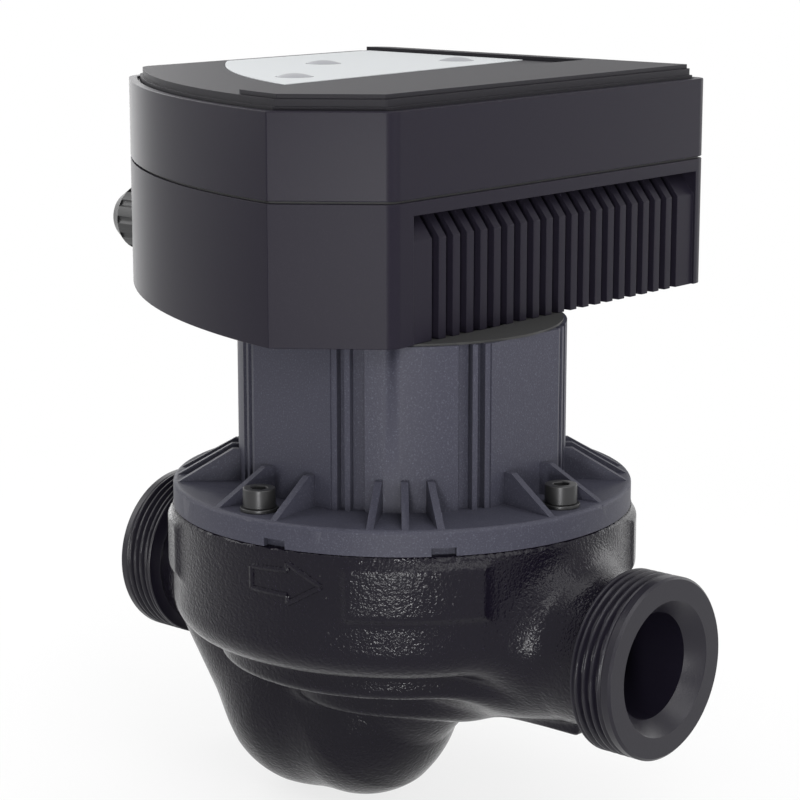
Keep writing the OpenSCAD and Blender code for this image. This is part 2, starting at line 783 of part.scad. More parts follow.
module motor_housing() {
    color(housing_c) at_shaft() difference() {
        union() {
            turned() mirror([0, 1]) rounded_disc(flange_d / 2, -flange_top, -casing_top, flange_edge_r);
            rod(register_d - fit * 2, spigot_z, casing_top + over);
            translate([0, 0, flange_top - over])
                linear_extrude(motor_top - flange_top + over) motor_outline();
            for (k = [0:3], s = [-1:1]) rotate([0, 0, 45 + 90 * k + s * rib_step - rib_lean]) flange_rib();
            for (k = [0:3], s = [-1, 1]) rotate([0, 0, 90 * k + s * screw_rib_step]) flange_rib();
        }
        rod(motor_bore_d, spigot_z - over, motor_lid_z);
        quarters() translate([screw_pitch_r, 0, 0]) rod(screw_d + loose * 2, spigot_z, flange_top + over);
        for (k = [0:1], a = drain_angles) rotate([0, 0, 180 * k - a])
            translate([flange_d / 2 - drain_h, -drain_w / 2, casing_top - over])
                cube([drain_h + over, drain_w, drain_h + over]);
        base_screw_spots() rod(small_screw_d + fit * 2, motor_lid_z - over, motor_top + over);
        translate([-lead_x, 0, motor_top]) cube([lead_slot[0], lead_slot[1], motor_lid_t * 3], center = true);
    }
}

module flange_washers() {
    color(dark_steel_c) at_shaft() quarters() translate([screw_pitch_r, 0, 0])
        ring(screw_d * washer_d_share, screw_d + loose * 2, flange_top, flange_top + washer_t);
}

module flange_screws() {
    color(dark_steel_c) at_shaft() quarters() translate([screw_pitch_r, 0, 0])
        cap_screw(screw_d, flange_top + washer_t, flange_t + washer_t + casing_thread_depth - over);
}

module base_gasket() {
    gasket_w = 13;
    gasket_d = motor_d - over * 2;
    hole_d = gasket_d - gasket_w * 2;
    color(rubber_c) at_shaft() translate([0, 0, motor_top]) difference() {
        cylinder(d = gasket_d, h = head_bottom - motor_top);
        translate([0, 0, -over]) cylinder(d = hole_d, h = head_bottom - motor_top + over * 2);
        base_screw_spots() rod(small_screw_d + loose * 2, -over, over * 2);
        translate([-lead_x, 0, 0])
            cube([lead_slot[0] + lead_room, lead_slot[1] + lead_room, over * 3], center = true);
    }
}

module base_screws() {
    color(steel_c) at_shaft() base_screw_spots() cap_screw(small_screw_d, floor_top, base_screw_h);
}

module motor_connector() {
    z0 = core_z + core_h + insulator_t + winding_over;
    color(plastic_c) at_shaft() translate([-lead_x, 0, (z0 + board_z) / 2])
        cube([lead_slot[0] - loose * 4, lead_slot[1] - loose * 4, board_z - z0], center = true);
}

// Plan of the head. Its corners run anticlockwise from the chamfer's right end.
nose_right = [fin_wall_front, -nose_back];
nose_end = [nose_left, -nose_front];
wall_end = [fin_wall_back, head_back];
curve_end = [-curve_end_x, -curve_end_y];
curve_chord = curve_end - nose_end;
curve_centre = (curve_end + nose_end) / 2
    + [-curve_chord[1], curve_chord[0]] / norm(curve_chord)
    * -sqrt(pow(curve_r, 2) - pow(norm(curve_chord) / 2, 2));
curve_normal = (curve_end - curve_centre) / curve_r;
curve_tangent = [curve_normal[1], -curve_normal[0]];
side_corner = curve_end + curve_tangent * (curve_end[0] + head_side) / -curve_tangent[0];
plan_corners = [nose_right, wall_end, [-head_side, head_back], side_corner,
    curve_end - curve_tangent * norm(curve_chord) / 2, nose_end + (nose_end - nose_right) / 2];
plan_radii = [fin_corner_r, fin_corner_r, back_corner_r, curve_corner_r, 0, 0];
corner_steps = 6;

function unit(v) = v / norm(v);
function half_angle(a, p, b) = acos(unit(a - p) * unit(b - p)) / 2;

// Points of the rounded corner p between a and b, set in by k
function corner_points(a, p, b, r, k) = let (
    h = half_angle(a, p, b),
    centre = p + unit(unit(a - p) + unit(b - p)) * max(r, k) / sin(h),
    q = max(r - k, 0),
    start = atan2(a[0] - p[0], p[1] - a[1]),
    steps = q > 0 ? corner_steps : 0)
    [for (i = [0:steps]) centre + q * [cos(start + (180 - 2 * h) * i / corner_steps),
        sin(start + (180 - 2 * h) * i / corner_steps)]];

function plan_points(k) = let (n = len(plan_corners)) [for (i = [0:n - 1])
    each corner_points(plan_corners[(i + n - 1) % n], plan_corners[i], plan_corners[(i + 1) % n],
        plan_radii[i], k)];

// Plan of the head, set in by k all round
module plan(k = 0) {
    intersection() {
        polygon(plan_points(k));
        translate(curve_centre) circle(curve_r - k, $fn = 360);
    }
}

// Frame on the finned wall: X along it from the front, Y into the head
wall_run = wall_end - nose_right;
wall_len = norm(wall_run);
module on_wall() translate(nose_right) rotate([0, 0, atan2(wall_run[1], wall_run[0])]) children();
module wall_slab(x0, x1) translate([x0, 0, 0]) rotate([90, 0, 90]) linear_extrude(x1 - x0) children();

sink_depth = fin_recess + fin_depth + sink_t;
recess_top = base_top - recess_lip;
module wall_strip(depth) on_wall() translate([-over, -over]) square([wall_len + over * 2, depth + over]);

// Space between two fins, and the slope over all of them
module fin_gaps() {
    x0 = recess_start + fin_margin;
    pitch = (wall_len - recess_end - fin_margin - x0 - fin_t) / (fin_count - 1);
    shoulder = recess_top - fin_slope_h;
    slope = fin_slope_h / fin_slope_d;
    deep = fin_recess + fin_depth;
    wall_slab(recess_start, wall_len - recess_end)
        polygon([[-over, head_bottom - over], [fin_recess, head_bottom - over], [fin_recess, shoulder],
            [fin_recess + fin_slope_d, recess_top], [-over, recess_top]]);
    for (i = [0:fin_count]) {
        start = i == 0 ? x0 - pitch + fin_t : x0 + (i - 1) * pitch + fin_t;
        wall_slab(start, start + pitch - fin_t)
            polygon([[-over, head_bottom - over], [deep, head_bottom - over],
                [deep, recess_top - (deep - fin_recess - fin_slope_d) / slope],
                [fin_recess + fin_slope_d, recess_top], [-over, recess_top]]);
    }
}

// Places that take a cover screw, and places that carry the power board
column_d = 10;
column_spots = [[nose_left + 2 * over, -nose_front + head_wall * 5 + over],
    [fin_wall_back - sink_depth - column_d / 2, head_back - head_wall * 3.5],
    [-head_side + back_corner_r, head_back - back_corner_r],
    [-curve_end_x + head_wall * 3, -curve_end_y + head_wall * 4]];
left_spot_x = 80;
left_spot_y = 68;
right_spot_x = 16;
right_spot_y = 82;
front_spot_x = 34;
front_spot_y = 25;
curve_spot_x = 70;
curve_spot_y = 2;
board_spots = [[-left_spot_x, left_spot_y], [-right_spot_x, right_spot_y], [-front_spot_x, -front_spot_y],
    [-curve_spot_x, curve_spot_y]];
board_front = 36;
column_gap = 2.4;
board_screw_d = 3;
board_screw_h = 7;
column_screw_z = 20;
cover_head_z = seat_z - loose - small_screw_d * head_h_share;

module columns(z0, z1, hole) {
    for (p = column_spots) translate([p[0], p[1], 0]) difference() {
        rod(column_d, z0, z1);
        rod(small_screw_d + hole * 2, z0 - over, z1 + over);
    }
}

module electronics_base() {
    color(shell_c) at_shaft() difference() {
        union() {
            difference() {
                translate([0, 0, head_bottom]) linear_extrude(base_h) plan();
                translate([0, 0, floor_top]) linear_extrude(base_h) difference() {
                    plan(head_wall);
                    wall_strip(sink_depth);
                }
            }
            columns(floor_top - over, base_top, fit);
            for (p = board_spots) translate([p[0], p[1], 0])
                rod(board_screw_d * 2, floor_top - over, board_z);
        }
        on_wall() fin_gaps();
        for (p = column_spots) translate([p[0], p[1], 0])
            rod(small_screw_d + fit * 2, base_top - column_screw_z, base_top + over);
        for (p = board_spots) translate([p[0], p[1], 0])
            rod(board_screw_d + fit * 2, board_z - board_screw_h, board_z + over);
        base_screw_spots() rod(small_screw_d + loose * 2, head_bottom - over, floor_top + over);
        translate([-lead_x, 0, head_bottom]) cube([lead_slot[0], lead_slot[1], floor_t * 3], center = true);
        translate([-head_side, gland_y, gland_z]) along_x(-1)
            translate([0, 0, -head_wall - over])
                cylinder(d = gland_thread_d + fit * 2, h = head_wall + over * 2);
    }
}

module power_board() {
    wall_room = 5;
    edge = head_wall + wall_room;
    color(board_c) at_shaft() translate([0, 0, board_z]) linear_extrude(board_t) difference() {
        plan(edge);
        wall_strip(sink_depth + loose);
        translate([-head_side, -head_side - board_front]) square([head_side * 2, head_side]);
        for (p = column_spots) translate(p) circle(d = column_d + column_gap);
        for (p = board_spots) translate(p) circle(d = board_screw_d + loose * 2);
    }
}

module board_screws() {
    color(steel_c) at_shaft() for (p = board_spots) translate([p[0], p[1], 0])
        cap_screw(board_screw_d, board_top, board_screw_h);
}

module capacitors() {
    can_r = 9;
    can_h = 28;
    groove = 0.8;
    can_x = 26;
    can_y = 58;
    color([0.16, 0.17, 0.3]) at_shaft() for (k = [0:2])
        translate([-can_x - can_r * 2.3 * k, can_y, board_top]) difference() {
            cylinder(r = can_r, h = can_h);
            translate([0, 0, can_h * 0.12]) ring(can_r * 3, (can_r - groove) * 2, 0, groove);
        }
}

module filter_choke() {
    core_r = 11;
    wire_r = 5;
    choke_x = 54;
    choke_y = 24;
    color(copper_c) at_shaft() translate([-choke_x, choke_y, board_top + wire_r])
        turned() translate([core_r, 0]) circle(wire_r);
    color(plastic_c) at_shaft() translate([-choke_x, choke_y, board_top]) difference() {
        cylinder(r = core_r, h = wire_r);
        translate([0, 0, -over]) cylinder(r = core_r - wire_r / 2, h = wire_r + over * 2);
    }
}

// Power module pressed against the metal behind the fins
module_w = 44;
module_h = 20;
module_t = 5;
pad_gap = 0.5;
module thermal_pad() {
    color([0.75, 0.75, 0.78]) at_shaft() on_wall()
        translate([(wall_len - module_w) / 2, sink_depth, board_top]) cube([module_w, pad_gap, module_h]);
}

module power_module() {
    color([0.12, 0.12, 0.13]) at_shaft() on_wall()
        translate([(wall_len - module_w) / 2, sink_depth + pad_gap, board_top])
            cube([module_w, module_t, module_h]);
}

module terminal_block() {
    block_w = 12;
    block_h = 13;
    wall_room = 12;
    way = 5;
    way_count = 5;
    off_gland = 6;
    block = [block_w, way * way_count, block_h];
    wire_d = 3.4;
    block_x = -head_side + head_wall + wall_room;
    color([0.2, 0.45, 0.3]) at_shaft() translate([block_x, gland_y + off_gland - block[1] / 2, board_top])
        difference() {
            cube(block);
            for (k = [0:way_count - 1]) translate([0, way * (k + 0.5), 0]) {
                translate([-over, 0, block[2] / 3]) along_x() cylinder(d = wire_d, h = block[0] / 2);
                translate([block[0] / 2, 0, block[2] * 0.7]) cylinder(d = wire_d, h = block[2]);
            }
        }
}

// Pin header between the two boards
link_x = 78;
link_y = 72;
link_w = 5;
link_len = 16;
display_drop = 10;
display_z = roof_z - display_drop;
module board_link() {
    color([0.1, 0.1, 0.1]) at_shaft() translate([-link_x, link_y, board_top])
        cube([link_w, link_len, display_z - board_top]);
}

module cover_gasket() {
    color(rubber_c) at_shaft() translate([0, 0, base_top]) linear_extrude(split_gap) difference() {
        plan(over);
        plan(head_wall - over / 2);
    }
}

front_button_x = 38;
front_button_y = 2;
side_button_x = 67;
side_button_y = 40;
back_button_x = 46;
back_button_y = 76;
button_spots = [[-front_button_x, -front_button_y], [-side_button_x, side_button_y],
    [-back_button_x, back_button_y]];
guide_wall = 2;
display_boss_d = 6;
display_boss_spots = [for (p = button_spots) p + [-display_boss_d * 2, display_boss_d * 2]];

module electronics_cover() {
    guide_d = stem_d + button_gap * 2 + guide_wall * 2;
    color(shell_c) at_shaft() difference() {
        union() {
            difference() {
                translate([0, 0, cover_z]) linear_extrude(cover_h) plan();
                translate([0, 0, cover_z - over]) linear_extrude(roof_z - cover_z + over) plan(head_wall);
                translate([0, 0, seat_z]) linear_extrude(plate_seat + over) plan(head_wall - over / 2);
            }
            columns(cover_z, roof_z + over, loose);
            for (p = display_boss_spots) translate([p[0], p[1], 0])
                rod(display_boss_d, display_z + board_t, roof_z + over);
        }
        for (p = button_spots) translate([p[0], p[1], 0])
            rod(stem_d + button_gap * 2, roof_z - over, seat_z + over);
        for (p = column_spots) translate([p[0], p[1], 0]) {
            rod(small_screw_d + loose * 2, cover_z - over, seat_z + over);
            rod(small_screw_d * head_d_share + loose * 2, cover_head_z, seat_z + over);
        }
    }
}

module cover_screws() {
    color(steel_c) at_shaft() for (p = column_spots) translate([p[0], p[1], 0])
        cap_screw(small_screw_d, cover_head_z, cover_head_z - base_top + column_screw_z - over);
}

// The keypad fills the side of the top plate under the curved wall
module keypad_outline(k = 0) {
    reach = head_side * 2;
    intersection() {
        plan(keypad_margin + k);
        translate(curve_centre) circle(curve_r - keypad_inset - k, $fn = 360);
        rotate(keypad_lean) translate([-reach - keypad_x - k, -reach]) square([reach, reach * 2]);
        translate([-reach, keypad_back - k - reach]) square([reach * 2, reach]);
    }
}

module top_plate() {
    color([0.2, 0.2, 0.205]) at_shaft() difference() {
        union() {
            translate([0, 0, seat_z]) linear_extrude(plate_low_h) plan(plate_inset);
            translate([0, 0, seat_z])
                linear_extrude(plate_low_h + plate_high_h) plan(plate_inset + plate_step);
        }
        translate([0, 0, film_z - keypad_t]) linear_extrude(keypad_t) keypad_outline();
        for (p = button_spots) translate([p[0], p[1], 0])
            rod(button_d + button_gap * 2, seat_z - over, plate_z + over);
    }
}

module raised_strip() {
    reach = head_side * 2;
    color([0.2, 0.2, 0.205]) at_shaft() translate([0, 0, plate_z]) linear_extrude(strip_h) intersection() {
        plan(plate_inset + plate_step * 2);
        union() {
            translate([-strip_x, -reach]) square([reach, reach * 2]);
            translate([-reach, keypad_back + strip_gap]) square([reach * 2, reach]);
        }
    }
}

module keypad_film() {
    color(film_c) at_shaft() translate([0, 0, film_z - keypad_t]) linear_extrude(keypad_t) difference() {
        keypad_outline(fit);
        for (p = button_spots) translate(p) circle(d = button_d + button_gap * 2);
    }
}

// Button cap with a crowned top, a stem through the cover and a stop collar under it
stop_t = 1;
switch_h = 3.4;
module button(p) {
    r = button_d / 2;
    crown_r = (r * r + pow(button_crown, 2)) / button_crown / 2;
    cap_z = seat_z + button_travel + plate_low_h / 2;
    stem_z = display_z + board_t + switch_h + button_travel + fit;
    color(film_c) at_shaft() translate([p[0], p[1], 0]) {
        rod(button_d, cap_z, film_z);
        intersection() {
            translate([0, 0, film_z + button_crown - crown_r]) turned() circle(crown_r, $fn = 180);
            rod(button_d, film_z - over / 4, film_z + button_crown + over);
        }
        rod(stem_d, stem_z, cap_z + over / 4);
        rod(stem_d + guide_wall, roof_z - stop_t - fit, roof_z - fit);
    }
}

module front_button() button(button_spots[0]);
module side_button() button(button_spots[1]);
module back_button() button(button_spots[2]);

module button_switches() {
    body = 6;
    color([0.12, 0.12, 0.12]) at_shaft() for (p = button_spots)
        translate([p[0], p[1], display_z + board_t]) {
            translate([-body / 2, -body / 2, 0]) cube([body, body, switch_h * 0.8]);
            cylinder(d = body / 2, h = switch_h);
        }
}

module display_board() {
    color(board_c) at_shaft() translate([0, 0, display_z]) linear_extrude(board_t) difference() {
        keypad_outline(over * 2);
        for (p = column_spots) translate(p) circle(d = column_d + loose * 4);
    }
}

// Places a shape of the cable gland on the side wall, pointing out of the head
module at_gland() at_shaft() translate([-head_side, gland_y, gland_z]) along_x(-1) children();
gland_washer_t = 1.2;
gland_wall = 2;
gland_bore_d = gland_thread_d - gland_wall * 2;

module gland_washer() {
    color(rubber_c) at_gland()
        ring(gland_thread_d + gland_wall * 2, gland_thread_d + fit * 2, 0, gland_washer_t);
}

module gland_body() {
    z1 = gland_washer_t + gland_hex_t;
    color(rubber_c) at_gland() difference() {
        union() {
            rod(gland_thread_d, -head_wall - over, z1);
            translate([0, 0, gland_washer_t]) cylinder(d = gland_hex_d, h = gland_hex_t, $fn = 6);
            rod(gland_thread_d, z1, z1 + gland_sleeve);
        }
        rod(gland_bore_d, -head_wall - over * 2, z1 + gland_sleeve + over);
    }
}

module gland_seal() {
    z0 = gland_washer_t + gland_hex_t;
    color([0.12, 0.12, 0.12]) at_gland()
        ring(gland_bore_d - fit * 2, cable_bore, z0, z0 + gland_sleeve + gland_washer_t);
}

module gland_nut() {
    z0 = gland_washer_t + gland_hex_t + loose;
    z1 = z0 + gland_nut_h;
    dome = 5;
    grip_count = 12;
    grip_d = 3;
    color(rubber_c) at_gland() difference() {
        union() {
            rod(gland_nut_d, z0, z1 - dome);
            translate([0, 0, z1 - dome])
                cylinder(d1 = gland_nut_d, d2 = gland_bore_d + gland_washer_t * 2, h = dome);
        }
        rod(gland_thread_d + fit * 2, z0 - over, z0 + gland_sleeve);
        rod(gland_bore_d, z0, z1 + over);
        for (k = [0:grip_count - 1]) rotate([0, 0, 360 / grip_count * k])
            translate([gland_nut_d / 2 + grip_d * 0.3, 0, 0]) rod(grip_d, z0 - over, z1 - dome);
    }
}

pump_casing();
wear_ring();
impeller();
bearing_plate();
front_bearing();
thrust_ring();
shaft();
rotor();
rotor_can();
can_seal();
casing_seal();
rear_bearing();
rear_bearing_carrier();
stator_core();
stator_windings();
winding_insulators();
motor_housing();
flange_screws();
flange_washers();
base_gasket();
base_screws();
motor_connector();
electronics_base();
power_board();
board_screws();
capacitors();
filter_choke();
power_module();
thermal_pad();
terminal_block();
board_link();
cover_gasket();
electronics_cover();
cover_screws();
top_plate();
raised_strip();
keypad_film();
front_button();
side_button();
back_button();
button_switches();
display_board();
gland_body();
gland_washer();
gland_seal();
gland_nut();
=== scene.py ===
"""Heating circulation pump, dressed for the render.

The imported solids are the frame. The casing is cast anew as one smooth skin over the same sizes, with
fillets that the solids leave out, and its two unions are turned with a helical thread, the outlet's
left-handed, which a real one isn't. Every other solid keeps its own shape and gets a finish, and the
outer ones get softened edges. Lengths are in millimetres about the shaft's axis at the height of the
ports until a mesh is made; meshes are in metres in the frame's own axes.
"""
from __future__ import annotations

import json
import logging
import math
from dataclasses import dataclass, field
from enum import Enum
from typing import Any, Callable, Iterable, Iterator, Sequence

import bmesh
import bpy
import numpy as np
from mathutils import Euler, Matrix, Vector

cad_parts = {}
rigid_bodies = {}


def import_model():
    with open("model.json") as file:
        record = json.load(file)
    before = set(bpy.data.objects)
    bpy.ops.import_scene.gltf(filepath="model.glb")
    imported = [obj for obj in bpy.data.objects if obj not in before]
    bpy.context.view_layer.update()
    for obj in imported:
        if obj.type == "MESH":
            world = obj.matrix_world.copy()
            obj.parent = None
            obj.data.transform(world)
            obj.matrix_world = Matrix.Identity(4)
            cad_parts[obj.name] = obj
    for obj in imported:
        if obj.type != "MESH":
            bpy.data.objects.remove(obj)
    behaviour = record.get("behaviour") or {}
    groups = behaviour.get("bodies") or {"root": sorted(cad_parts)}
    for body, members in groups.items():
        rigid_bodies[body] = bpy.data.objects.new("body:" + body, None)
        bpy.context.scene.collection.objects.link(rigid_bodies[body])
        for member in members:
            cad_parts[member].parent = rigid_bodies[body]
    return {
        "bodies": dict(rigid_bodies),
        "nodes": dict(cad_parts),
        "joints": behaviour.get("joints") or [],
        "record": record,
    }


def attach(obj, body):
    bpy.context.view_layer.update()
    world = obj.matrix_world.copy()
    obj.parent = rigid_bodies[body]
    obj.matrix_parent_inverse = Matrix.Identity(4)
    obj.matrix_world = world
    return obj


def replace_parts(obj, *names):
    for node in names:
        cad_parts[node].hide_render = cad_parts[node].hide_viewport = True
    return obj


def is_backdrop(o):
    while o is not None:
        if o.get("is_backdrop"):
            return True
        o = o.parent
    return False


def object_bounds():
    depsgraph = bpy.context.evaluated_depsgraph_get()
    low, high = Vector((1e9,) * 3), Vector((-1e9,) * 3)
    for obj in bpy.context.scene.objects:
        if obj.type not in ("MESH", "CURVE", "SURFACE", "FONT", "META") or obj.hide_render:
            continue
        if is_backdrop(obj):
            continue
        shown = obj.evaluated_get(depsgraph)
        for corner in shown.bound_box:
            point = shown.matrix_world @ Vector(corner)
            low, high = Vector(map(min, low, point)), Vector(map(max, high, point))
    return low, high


LOG = logging.getLogger("pump")
MM = 0.001
TINY = 1e-9
WHITE = (1.0, 1.0, 1.0, 1.0)

Rgb = tuple[float, float, float]
Spot = tuple[float, float, float]
Quad = tuple[int, int, int, int]
Points = np.ndarray
Field = Callable[[Points], np.ndarray]
Inputs = dict[str | int, Any]


class Wire:
    """A shader socket whose arithmetic adds Math nodes."""

    def __init__(self, nodes: "Nodes", socket: bpy.types.NodeSocket) -> None:
        """Remember the socket and the tree it belongs to."""
        self.nodes = nodes
        self.socket = socket

    def _math(self, operation: str, *terms: "Wire | float") -> "Wire":
        """Result of one Math node over these terms, in order."""
        return self.nodes.wire("ShaderNodeMath", {"operation": operation}, dict(enumerate(terms)))

    def __add__(self, other: "Wire | float") -> "Wire":
        """Sum."""
        return self._math("ADD", self, other)

    def __mul__(self, other: "Wire | float") -> "Wire":
        """Product."""
        return self._math("MULTIPLY", self, other)

    def higher(self, other: "Wire") -> "Wire":
        """The higher of the two."""
        return self._math("MAXIMUM", self, other)

    def between(self, low: float, high: float) -> "Wire":
        """Smooth step from nought at low to one at high."""
        span = {"Value": self, "From Min": low, "From Max": high}
        return self.nodes.wire("ShaderNodeMapRange", {"interpolation_type": "SMOOTHSTEP"}, span)


class Nodes:
    """A node tree, emptied and filled anew."""

    def __init__(self, tree: bpy.types.NodeTree) -> None:
        """Empty the tree."""
        self.tree = tree
        tree.nodes.clear()

    def add(self, kind: str, settings: dict[str, Any] | None = None,
            inputs: Inputs | None = None) -> bpy.types.Node:
        """Add one node.

        Args:
            kind: The node's type.
            settings: The node's own properties, set before its inputs.
            inputs: Values or wires for its sockets, by name or number.

        Returns:
            The node.
        """
        node = self.tree.nodes.new(kind)
        for name, value in (settings or {}).items():
            setattr(node, name, value)
        for key, value in (inputs or {}).items():
            self.feed(node, key, value)
        return node

    def feed(self, node: bpy.types.Node, key: str | int, value: Any) -> None:
        """Set a socket of a node, or link a wire to it.

        Args:
            node: The node.
            key: The socket's name or number.
            value: A value, or a wire.
        """
        if isinstance(value, Wire):
            self.tree.links.new(value.socket, node.inputs[key])
        else:
            node.inputs[key].default_value = value

    def wire(self, kind: str, settings: dict[str, Any] | None = None,
             inputs: Inputs | None = None, output: str | int = 0) -> Wire:
        """Add one node and return one of its outputs as a wire."""
        return Wire(self, self.add(kind, settings, inputs).outputs[output])

    def shown(self) -> Wire:
        """Factor for what only the eye, mirrors and glass see.

        Returns:
            One for camera, glossy and transmission rays, else nought.
        """
        path = self.add("ShaderNodeLightPath")
        camera, glossy, transmission = (Wire(self, path.outputs[f"Is {kind} Ray"])
                                        for kind in ("Camera", "Glossy", "Transmission"))
        return camera.higher(glossy).higher(transmission)

    def mix(self, factor: Wire, first: Wire, second: Wire) -> Wire:
        """Mix of two shaders by a factor."""
        return self.wire("ShaderNodeMixShader", None, {0: factor, 1: first, 2: second})


class Shader(Nodes):
    """A material's node tree round one Principled shader."""

    def __init__(self, name: str) -> None:
        """Make the material and its shader.

        Args:
            name: The material's name.
        """
        self.material = bpy.data.materials.new(name)
        self.material.use_nodes = True
        super().__init__(self.material.node_tree)
        self.surface = self.add("ShaderNodeBsdfPrincipled")
        self.lit = Wire(self, self.surface.outputs[0])
        self.output = self.add("ShaderNodeOutputMaterial", None, {"Surface": self.lit})
        self.place = self.wire("ShaderNodeTexCoord", output="Object")

    def noise(self, grain_mm: float, detail: float = 2.0, roughness: float = 0.5) -> Wire:
        """Noise whose lumps are about grain_mm across."""
        grain = {"Scale": 1 / (grain_mm * MM), "Detail": detail, "Roughness": roughness}
        return self.wire("ShaderNodeTexNoise", None, {"Vector": self.place, **grain})

    def blend(self, factor: Wire, low: Rgb, high: Rgb) -> Wire:
        """Blend two colours.

        Args:
            factor: Nought for the first colour, one for the second.
            low: The first colour.
            high: The second colour.

        Returns:
            The blended colour.
        """
        node = self.add("ShaderNodeMix", {"data_type": "RGBA"}, {0: factor})
        ends = [socket for socket in node.inputs if socket.type == "RGBA"]
        ends[0].default_value, ends[1].default_value = (*low, 1.0), (*high, 1.0)
        return Wire(self, next(socket for socket in node.outputs if socket.type == "RGBA"))

    def bump(self, height: Wire, depth_mm: float, under: Wire | None = None) -> Wire:
        """Turn a height map into a normal.

        Args:
            height: The height map, from nought to one.
            depth_mm: How deep it goes.
            under: Another normal that it lies over, if there is one.

        Returns:
            The normal.
        """
        inputs: Inputs = {"Height": height, "Distance": depth_mm * MM, "Strength": 1.0}
        if under is not None:
            inputs["Normal"] = under
        return self.wire("ShaderNodeBump", None, inputs)


@dataclass(frozen=True)
class Finish:
    """A plain even finish."""

    colour: Rgb
    roughness: float = 0.5
    metallic: float = 0.0
    specular: float = 0.5

    def dress(self, shader: Shader) -> None:
        """Set what is the same all over the surface.

        Args:
            shader: The material's shader.
        """
        values = {"Base Color": (*self.colour, 1.0), "Roughness": self.roughness,
                  "Metallic": self.metallic, "Specular IOR Level": self.specular}
        for name, value in values.items():
            shader.feed(shader.surface, name, value)

    def shader(self, name: str) -> Shader:
        """Make a material of this finish.

        Args:
            name: The material's name.

        Returns:
            The material's shader.
        """
        shader = Shader(name)
        self.dress(shader)
        return shader


@dataclass(frozen=True)
class CastEnamel(Finish):
    """Thick gloss enamel over a sand casting: hills about a millimetre wide, and finer pits."""

    hill_mm: float = 1.0
    hill_depth_mm: float = 0.2
    hill_detail: float = 1.5
    hill_roughness: float = 0.55
    pit_mm: float = 0.5
    pit_depth_mm: float = 0.05
    patch_mm: float = 22.0
    patch_range: tuple[float, float] = (0.35, 0.7)
    patch_dulling: float = 0.12

    def dress(self, shader: Shader) -> None:
        """Add the orange peel and a patchy gloss.

        Args:
            shader: The material's shader.
        """
        super().dress(shader)
        hills = shader.noise(self.hill_mm, self.hill_detail, self.hill_roughness)
        under = shader.bump(hills, self.hill_depth_mm)
        normal = shader.bump(shader.noise(self.pit_mm), self.pit_depth_mm, under)
        shader.feed(shader.surface, "Normal", normal)
        patch = shader.noise(self.patch_mm).between(*self.patch_range)
        shader.feed(shader.surface, "Roughness", patch * self.patch_dulling + self.roughness)


@dataclass(frozen=True)
class GrainedCoat(Finish):
    """Powder coat or moulding with a fine grain and fine bright flecks."""

    fleck: Rgb = (0.3, 0.31, 0.34)
    fleck_share: float = 0.3
    fleck_size: float = 1.3
    fleck_roughness: float = 0.7
    fleck_range: tuple[float, float] = (0.5, 0.78)
    grain_mm: float = 0.35
    grain_detail: float = 1.0
    grain_depth_mm: float = 0.05

    def dress(self, shader: Shader) -> None:
        """Add the flecks to the colour and the grain to the surface.

        Args:
            shader: The material's shader.
        """
        super().dress(shader)
        spots = shader.noise(self.grain_mm * self.fleck_size, roughness=self.fleck_roughness)
        flecks = spots.between(*self.fleck_range) * self.fleck_share
        shader.feed(shader.surface, "Base Color", shader.blend(flecks, self.colour, self.fleck))
        grain = shader.noise(self.grain_mm, self.grain_detail)
        shader.feed(shader.surface, "Normal", shader.bump(grain, self.grain_depth_mm))


FINISHES: dict[str, Finish] = {
    "casing_enamel": CastEnamel((0.0045, 0.0036, 0.0072), roughness=0.13, specular=0.16),
    "union_enamel": GrainedCoat((0.0055, 0.0045, 0.009), roughness=0.36, specular=0.3,
                                fleck=(0.012, 0.0115, 0.014), grain_depth_mm=0.03),
    "anthracite_coat": GrainedCoat((0.034, 0.034, 0.048), roughness=0.5, specular=0.15,
                                   fleck=(0.14, 0.143, 0.175)),
    "black_coat": GrainedCoat((0.011, 0.0095, 0.0155), roughness=0.38, specular=0.06,
                              fleck=(0.022, 0.02, 0.028), grain_depth_mm=0.012),
    "black_plastic": GrainedCoat((0.013, 0.0115, 0.0175), roughness=0.34, specular=0.06,
                                 fleck=(0.022, 0.02, 0.028), grain_depth_mm=0.012),
    "panel_plastic": GrainedCoat((0.012, 0.0112, 0.0145), roughness=0.5, specular=0.12,
                                 fleck=(0.022, 0.022, 0.024), grain_depth_mm=0.015),
    "grey_film": Finish((0.44, 0.455, 0.465), roughness=0.5, specular=0.12),
    "button_grey": Finish((0.27, 0.275, 0.29), roughness=0.45, specular=0.12),
    "black_steel": Finish((0.035, 0.035, 0.036), roughness=0.36, metallic=0.7),
    "steel": Finish((0.6, 0.6, 0.61), roughness=0.3, metallic=1.0),
    "lamination_steel": Finish((0.35, 0.36, 0.38), roughness=0.45, metallic=0.9),
    "ceramic": Finish((0.85, 0.83, 0.78), roughness=0.2),
    "carbon": Finish((0.03, 0.03, 0.032), roughness=0.5),
    "rubber": Finish((0.012, 0.012, 0.012), roughness=0.65),
    "enamelled_copper": Finish((0.65, 0.27, 0.1), roughness=0.3, metallic=0.9),
    "cream_plastic": Finish((0.75, 0.7, 0.55), roughness=0.45),
    "dark_plastic": Finish((0.02, 0.02, 0.021), roughness=0.45),
    "circuit_board": Finish((0.01, 0.13, 0.04), roughness=0.3),
    "capacitor_sleeve": Finish((0.01, 0.014, 0.07), roughness=0.3),
    "grey_pad": Finish((0.3, 0.3, 0.33), roughness=0.8),
    "green_plastic": Finish((0.02, 0.17, 0.05), roughness=0.4),
    "gland_nylon": Finish((0.013, 0.013, 0.014), roughness=0.45),
}


